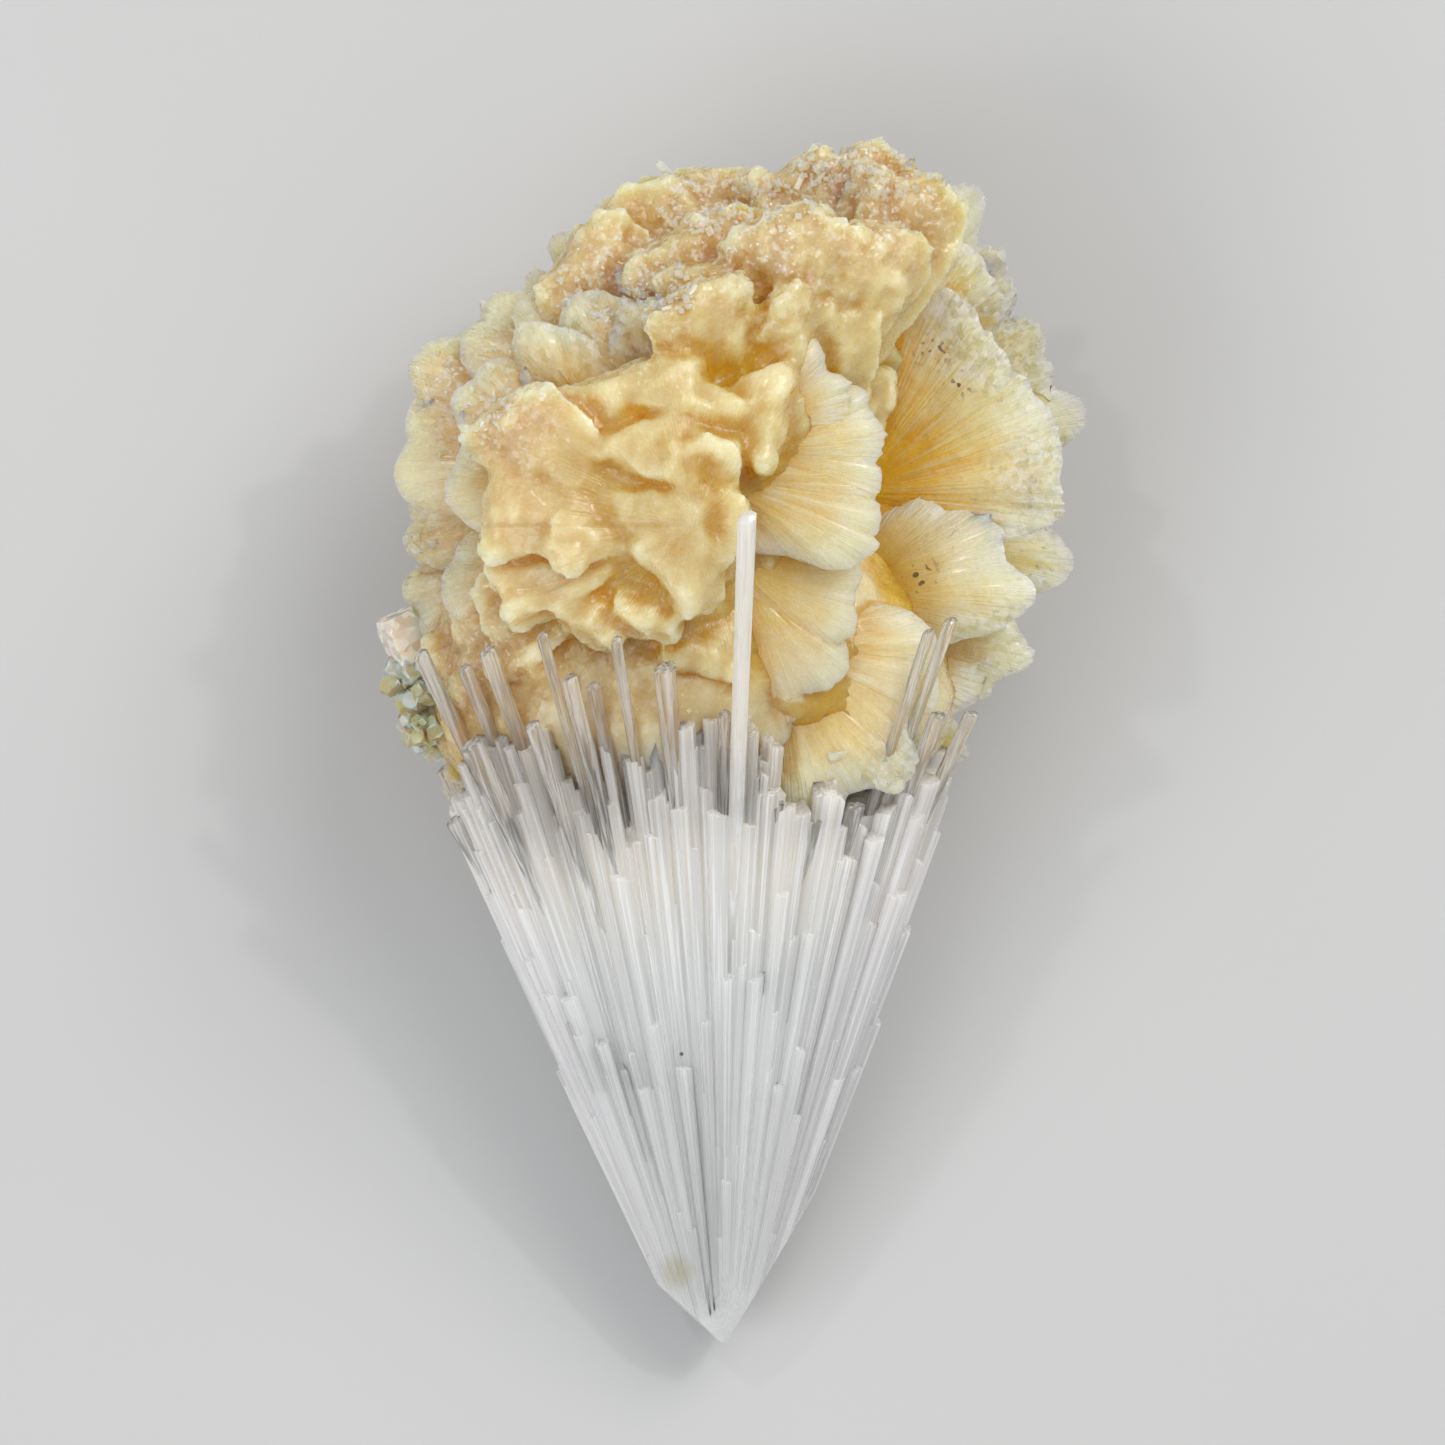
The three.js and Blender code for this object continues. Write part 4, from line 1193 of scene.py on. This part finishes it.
def stilbite_finish():
    finish = Finish("stilbite")
    tone, clear, opened, frost, ridge = (
        finish.attribute(name) for name in ("tone", "clear", "open", "frost", "ridge"))
    across, along, _ = finish.split(finish.attribute("grain", "Vector"))
    place = finish.places()
    x_place, y_place, z_place = finish.split(place)
    patches, mottle, crumbs, grit, specks, painted_glints = (
        finish.noise(place, *pattern) for pattern in (PATCHES, MOTTLE, CRUMBS, GRIT, SPECKS, PAINTED_GLINTS))
    line_place = finish.join(finish.times(across, 16.0), finish.times(along, 0.8), finish.times(tone, 60.0))
    lines = finish.noise(line_place, 1.0, 2.0, 0.65)
    fibre_place = finish.join(finish.times(across, 40.0), finish.times(along, 0.7), 0.0)
    fibres = finish.noise(fibre_place, 1.0, 2.0, 0.6)
    shell = finish.span(tone, 0.0, -1.0)
    fan = finish.span(tone, -1.7, -1.95)
    # Painted highlight: the shells grow whiter towards the right, where the light falls.
    right_side_highlight = finish.span(x_place, 0.008, 0.024)
    # How light each place is, of the wax and then of the shells: painted shade in the crevices from the
    # openness and painted highlight on the ridges, mixed with the stone's own patches, lines, tones and its
    # change from root to rim.
    painted_light_and_tone = finish.weighted(opened, (along, 0.36), (patches, 0.8), (mottle, 0.5), (ridge, 1.0),
                          (lines, 0.45), (tone, 0.25))
    shell_painted_light_and_tone = finish.weighted(-1.05, (along, 0.6), (fibres, 3.0), (patches, 1.3), (opened, 0.55))
    painted_light_and_tone = finish.weighted(painted_light_and_tone, (shell, finish.math("SUBTRACT", shell_painted_light_and_tone, painted_light_and_tone)))
    # Deep amber where the mix is low and cream where it is high: painted crevice shade and ridge light over
    # the stone's own tones.
    color = finish.blend(finish.span(painted_light_and_tone, 0.7, 1.4), DEEP_AMBER, WAX_GOLD)
    color = finish.blend(finish.span(painted_light_and_tone, 1.4, 2.1), color, CREAM)
    shell_color = finish.blend(finish.span(painted_light_and_tone, 0.8, 1.9), finish.blend(fan, SHELL_GOLD, FAN_GOLD),
                               finish.blend(fan, SHELL_CREAM, FAN_CREAM))
    shell_color = finish.cover(shell_color, SHELL_WHITE, finish.span(along, 0.0, 0.9),
                               finish.span(patches, 0.42, 0.6), finish.span(fibres, 0.35, 0.6, 0.4, 1.0),
                               finish.weighted(0.2, (right_side_highlight, 0.8)))
    color = finish.cover(color, shell_color, shell, 0.85)
    # Painted shade: deeper gold low in the hollow.
    color = finish.cover(color, HOLLOW_SHADE_GOLD, finish.near(HOLLOW_MIDDLE, HOLLOW_REACH, HOLLOW_REACH * 0.4),
                         finish.span(z_place, HOLLOW_TOP * MM, (HOLLOW_TOP - 4) * MM), 0.85)
    # White frosty rims, kept out of the crevices as painted shade, and whitest on the shells at the right
    # as painted highlight.
    white = finish.blend(finish.times(shell, right_side_highlight), FROST_WHITE, SHELL_WHITE)
    color = finish.cover(color, white, finish.span(along, 0.45, 1.0), finish.span(opened, 0.5, 0.9),
                         finish.span(lines, 0.3, 0.65, 0.2, 0.75))
    # Frost, then the parts of the head whose colour differs.
    color = finish.cover(color, SUGAR_TAN, frost, 0.5)
    color = finish.cover(color, FROST_WHITE, frost, finish.span(crumbs, 0.5, 0.68), 0.8)
    color = finish.cover(color, PEACH, finish.span(x_place, 0.002, -0.03, 0.0, 0.45))
    color = finish.cover(color, WAX_BROWN, finish.span(y_place, 0.010, 0.002),
                         finish.span(x_place, 0.009, 0.003), 0.65)
    speckled = finish.weighted(0.0, *((finish.near(middle, reach), 0.9) for middle, reach in SPECK_PLACES))
    color = finish.cover(color, SPECK_BROWN, finish.span(specks, 0.66, 0.7), speckled)
    color = finish.cover(color, CLEAR_WHITE, clear, 0.55)
    # Painted highlight: paler cream on the ridges.
    color = finish.cover(color, RIDGE_HIGHLIGHT_CREAM, finish.span(ridge, 0.08, 0.6),
                         finish.span(patches, 0.35, 0.65, 0.3, 0.9))
    # Painted glints: tiny white specks in the colour, mostly on the frost.
    color = finish.cover(color, PAINTED_GLINT_WHITE, finish.span(painted_glints, 0.69, 0.74, 0.0, 0.8),
                         finish.weighted(0.1, (frost, 0.9)), finish.span(mottle, 0.46, 0.58))
    height = finish.weighted(lines, (mottle, 2.0), (grit, 0.25), (finish.times(shell, fibres), 1.2))
    faces = finish.times(finish.facets(place, 1900.0), finish.span(frost, 0, 0.5, 0.2, 1.3))
    finish.set(Base_Color=color, Roughness=finish.span(grit, 0.3, 0.7, 0.16, 0.38),
               Normal=finish.bump(faces, 1.0, 1.0, finish.bump(height, 0.0003, 0.7)),
               Subsurface_Weight=finish.span(shell, 0.0, 1.0, 0.95, 0.75), Subsurface_Scale=0.0075,
               Specular_IOR_Level=0.4, IOR=1.5, Coat_Weight=0.3, Coat_Roughness=0.15)
    finish.shader.inputs["Subsurface Radius"].default_value = (1.0, 0.68, 0.26)
    return finish.material


MILK_WHITE = (0.69, 0.695, 0.685)
LILAC_AND_SIDE_LIGHT = (0.79, 0.755, 0.77)
GREY_CLEAR = (0.66, 0.69, 0.69)
WATER_CLEAR = (0.98, 0.97, 0.95)
PAINTED_GOLD_SEEN_THROUGH = (0.99, 0.87, 0.71)
PAINTED_HIGHLIGHT_LINE = (0.97, 0.97, 0.96)
# The olive stain near the root and the one black speck: middle seen from above, reach, the lowest
# height, how strong it is and its colour.
SPOTS = [
    ((-4.0, 6.2), 2.0, 6, 0.55, (0.50, 0.46, 0.27)),
    ((-3.5, 24.9), 0.24, 14, 0.9, (0.05, 0.05, 0.05)),
]


def scolecite_finish():
    finish = Finish("scolecite")
    clear = finish.attribute("clear")
    place = finish.places()
    z_place = finish.split(place)[2]
    offset = finish.vector("SUBTRACT", place, tuple(TO_FRAME @ CONE_POINT))
    away = finish.vector("LENGTH", offset)
    way = finish.vector("NORMALIZE", offset)
    streaks = finish.noise(way, 190.0, 2.0, 0.6, finish.times(away, 0.25))
    wide_streaks = finish.noise(way, 50.0, 2.0, 0.5, finish.times(away, 1.6))
    # A lilac tint towards the cone's sides, paler than the middle as painted light on the faces that turn
    # sideways.
    to_side = finish.math("ABSOLUTE", finish.math("ADD", finish.split(way)[0], 0.04))
    color = finish.blend(finish.span(to_side, 0.16, 0.42), MILK_WHITE, LILAC_AND_SIDE_LIGHT)
    color = finish.cover(color, GREY_CLEAR, finish.span(wide_streaks, 0.4, 0.65, 0.0, 0.25))
    see = finish.times(clear, finish.span(away, 0.048, 0.062, 0.5, 0.95))
    see = finish.math("ADD", see, finish.span(streaks, 0.4, 0.62, 0.05, -0.35), clamp=True)
    color = finish.cover(color, WATER_CLEAR, see)
    # Painted light: a golden tint at the crystals' ends that stands for the golden stilbite seen through
    # them.
    color = finish.cover(color, PAINTED_GOLD_SEEN_THROUGH, finish.span(away, 0.042, 0.064), finish.span(clear, 0.0, 0.15),
                         finish.span(streaks, 0.42, 0.62, 0.95, 0.1))
    # Painted highlights: bright white lines along the crystals.
    color = finish.cover(color, PAINTED_HIGHLIGHT_LINE, finish.span(streaks, 0.55, 0.62),
                         finish.span(away, 0.03, 0.06, 0.15, 0.8))
    for middle, reach, lowest, share, tint in SPOTS:
        color = finish.cover(color, tint, finish.near(middle, reach, reach * 0.3),
                             finish.span(z_place, lowest * MM, (lowest + 1) * MM),
                             finish.span(streaks, 0.35, 0.5, 0.5, 1.0), share)
    finish.set(Base_Color=color, Roughness=finish.span(wide_streaks, 0.35, 0.65, 0.05, 0.16),
               Normal=finish.bump(streaks, 0.0002, 0.6), Transmission_Weight=see,
               Subsurface_Weight=1.0, Subsurface_Scale=0.008, IOR=1.512)
    finish.shader.inputs["Subsurface Radius"].default_value = (1.0, 1.0, 1.0)
    return finish.material


OLIVE = (0.74, 0.68, 0.36)
GREEN_GREY = (0.93, 0.93, 0.88)
BEIGE = (0.80, 0.74, 0.62)


def apophyllite_finish():
    finish = Finish("apophyllite")
    clear = finish.attribute("clear")
    place = finish.places()
    patches = finish.noise(place, 420.0, 2.0, 0.6)
    olive = finish.span(finish.weighted(patches, (finish.attribute("tone"), 0.4)), 0.58, 0.85)
    color = finish.blend(clear, BEIGE, finish.blend(olive, GREEN_GREY, OLIVE))
    finish.set(Base_Color=color, Roughness=finish.span(patches, 0.3, 0.7, 0.03, 0.12),
               Normal=finish.bump(finish.facets(place, 1300.0), 1.0), Subsurface_Weight=0.8,
               Subsurface_Scale=0.002, Transmission_Weight=finish.times(clear, 0.42), IOR=1.535)
    return finish.material


FLOOR_TINTS = ((0.50, 0.50, 0.50), (0.56, 0.56, 0.555))


def floor_finish():
    finish = Finish("pale floor")
    color = finish.blend(finish.noise(finish.places(), 9.0, 3.0), *FLOOR_TINTS)
    finish.set(Base_Color=color, Roughness=0.9)
    return finish.material


# The setting.

def floor():
    bpy.ops.mesh.primitive_plane_add(size=3)
    plane = start_piece("floor")
    plane.data.materials.append(floor_finish())


def area_light(name, place, target, size, watts, color):
    light = bpy.data.lights.new(name, "AREA")
    assign(light, shape="DISK", size=size, energy=watts, color=color)
    lamp = add_object(name, light, place)
    lamp.rotation_euler = (Vector(target) - Vector(place)).to_track_quat("-Z", "Y").to_euler()


# Lamps: where they hang and what they light, both in metres, their size, strength and colour.
LAMPS = [
    ("key", (0.3, 0.35, 0.5), (0, 0.01, 0.02), 0.45, 2.2, (1, 0.98, 0.95)),
    ("glint right", (0.35, 0.3, 0.6), (0, 0.01, 0.02), 0.03, 0.5, (1, 0.98, 0.95)),
    ("glint left", (-0.25, 0.35, 0.6), (0, 0.01, 0.02), 0.03, 0.35, (1, 1, 1)),
    ("fill", (-0.4, -0.25, 0.45), (0, 0, 0.02), 0.5, 1.7, (0.98, 0.99, 1)),
]
SURROUNDINGS_COLOR = (0.96, 0.98, 1, 1)
SURROUNDINGS_STRENGTH = 0.56


def studio():
    world = bpy.data.worlds.new("studio")
    world.use_nodes = True
    background = world.node_tree.nodes["Background"]
    background.inputs["Color"].default_value = SURROUNDINGS_COLOR
    background.inputs["Strength"].default_value = SURROUNDINGS_STRENGTH
    bpy.context.scene.world = world
    bpy.context.scene.view_settings.view_transform = "Standard"
    for lamp in LAMPS:
        area_light(*lamp)


CAMERA_LENS = 200
CAMERA_SENSOR = 36
WIDTH_SEEN = 0.1189
CAMERA_AIM = (-0.00016, 0.00244, 0.022)


def camera():
    data = bpy.data.cameras.new("camera")
    assign(data, lens=CAMERA_LENS, sensor_width=CAMERA_SENSOR, clip_end=10)
    x, y, height = CAMERA_AIM
    place = (x, y, height + WIDTH_SEEN * CAMERA_LENS / CAMERA_SENSOR)
    bpy.context.scene.camera = add_object("camera", data, place)


def dress(piece, material, node):
    """Cuts a fused piece flat below and puts it in the frame, with its finish, for its solid."""
    with editing(piece):
        bpy.ops.mesh.bisect(plane_co=(0, 0, 0), plane_no=UP, use_fill=True, clear_inner=True)
    piece.data.transform(TO_FRAME)
    piece.data.materials.clear()
    piece.data.materials.append(material)
    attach(piece, "root")
    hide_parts(node)


# Edges of the head are soft below this angle.
SMOOTHED_BELOW_DEG = 38

camera()
studio()
floor()

head = stilbite_head()
bare_head = BVHTree.FromObject(head, bpy.context.evaluated_depsgraph_get())
add_frost(head, bare_head)
remember_openness(head, bare_head)
remember_ridges(head)
remember_frost(head)
dress(head, stilbite_finish(), "stilbite_head")
make_active(head)
bpy.ops.object.shade_smooth_by_angle(angle=math.radians(SMOOTHED_BELOW_DEG))

spray = scolecite_spray()
dress(spray, scolecite_finish(), "scolecite_spray")

crust = apophyllite_crust()
dress(crust, apophyllite_finish(), "apophyllite_crust")

for piece in (head, spray, crust):
    print(piece.name, sum(len(p.vertices) - 2 for p in piece.data.polygons), "triangles")
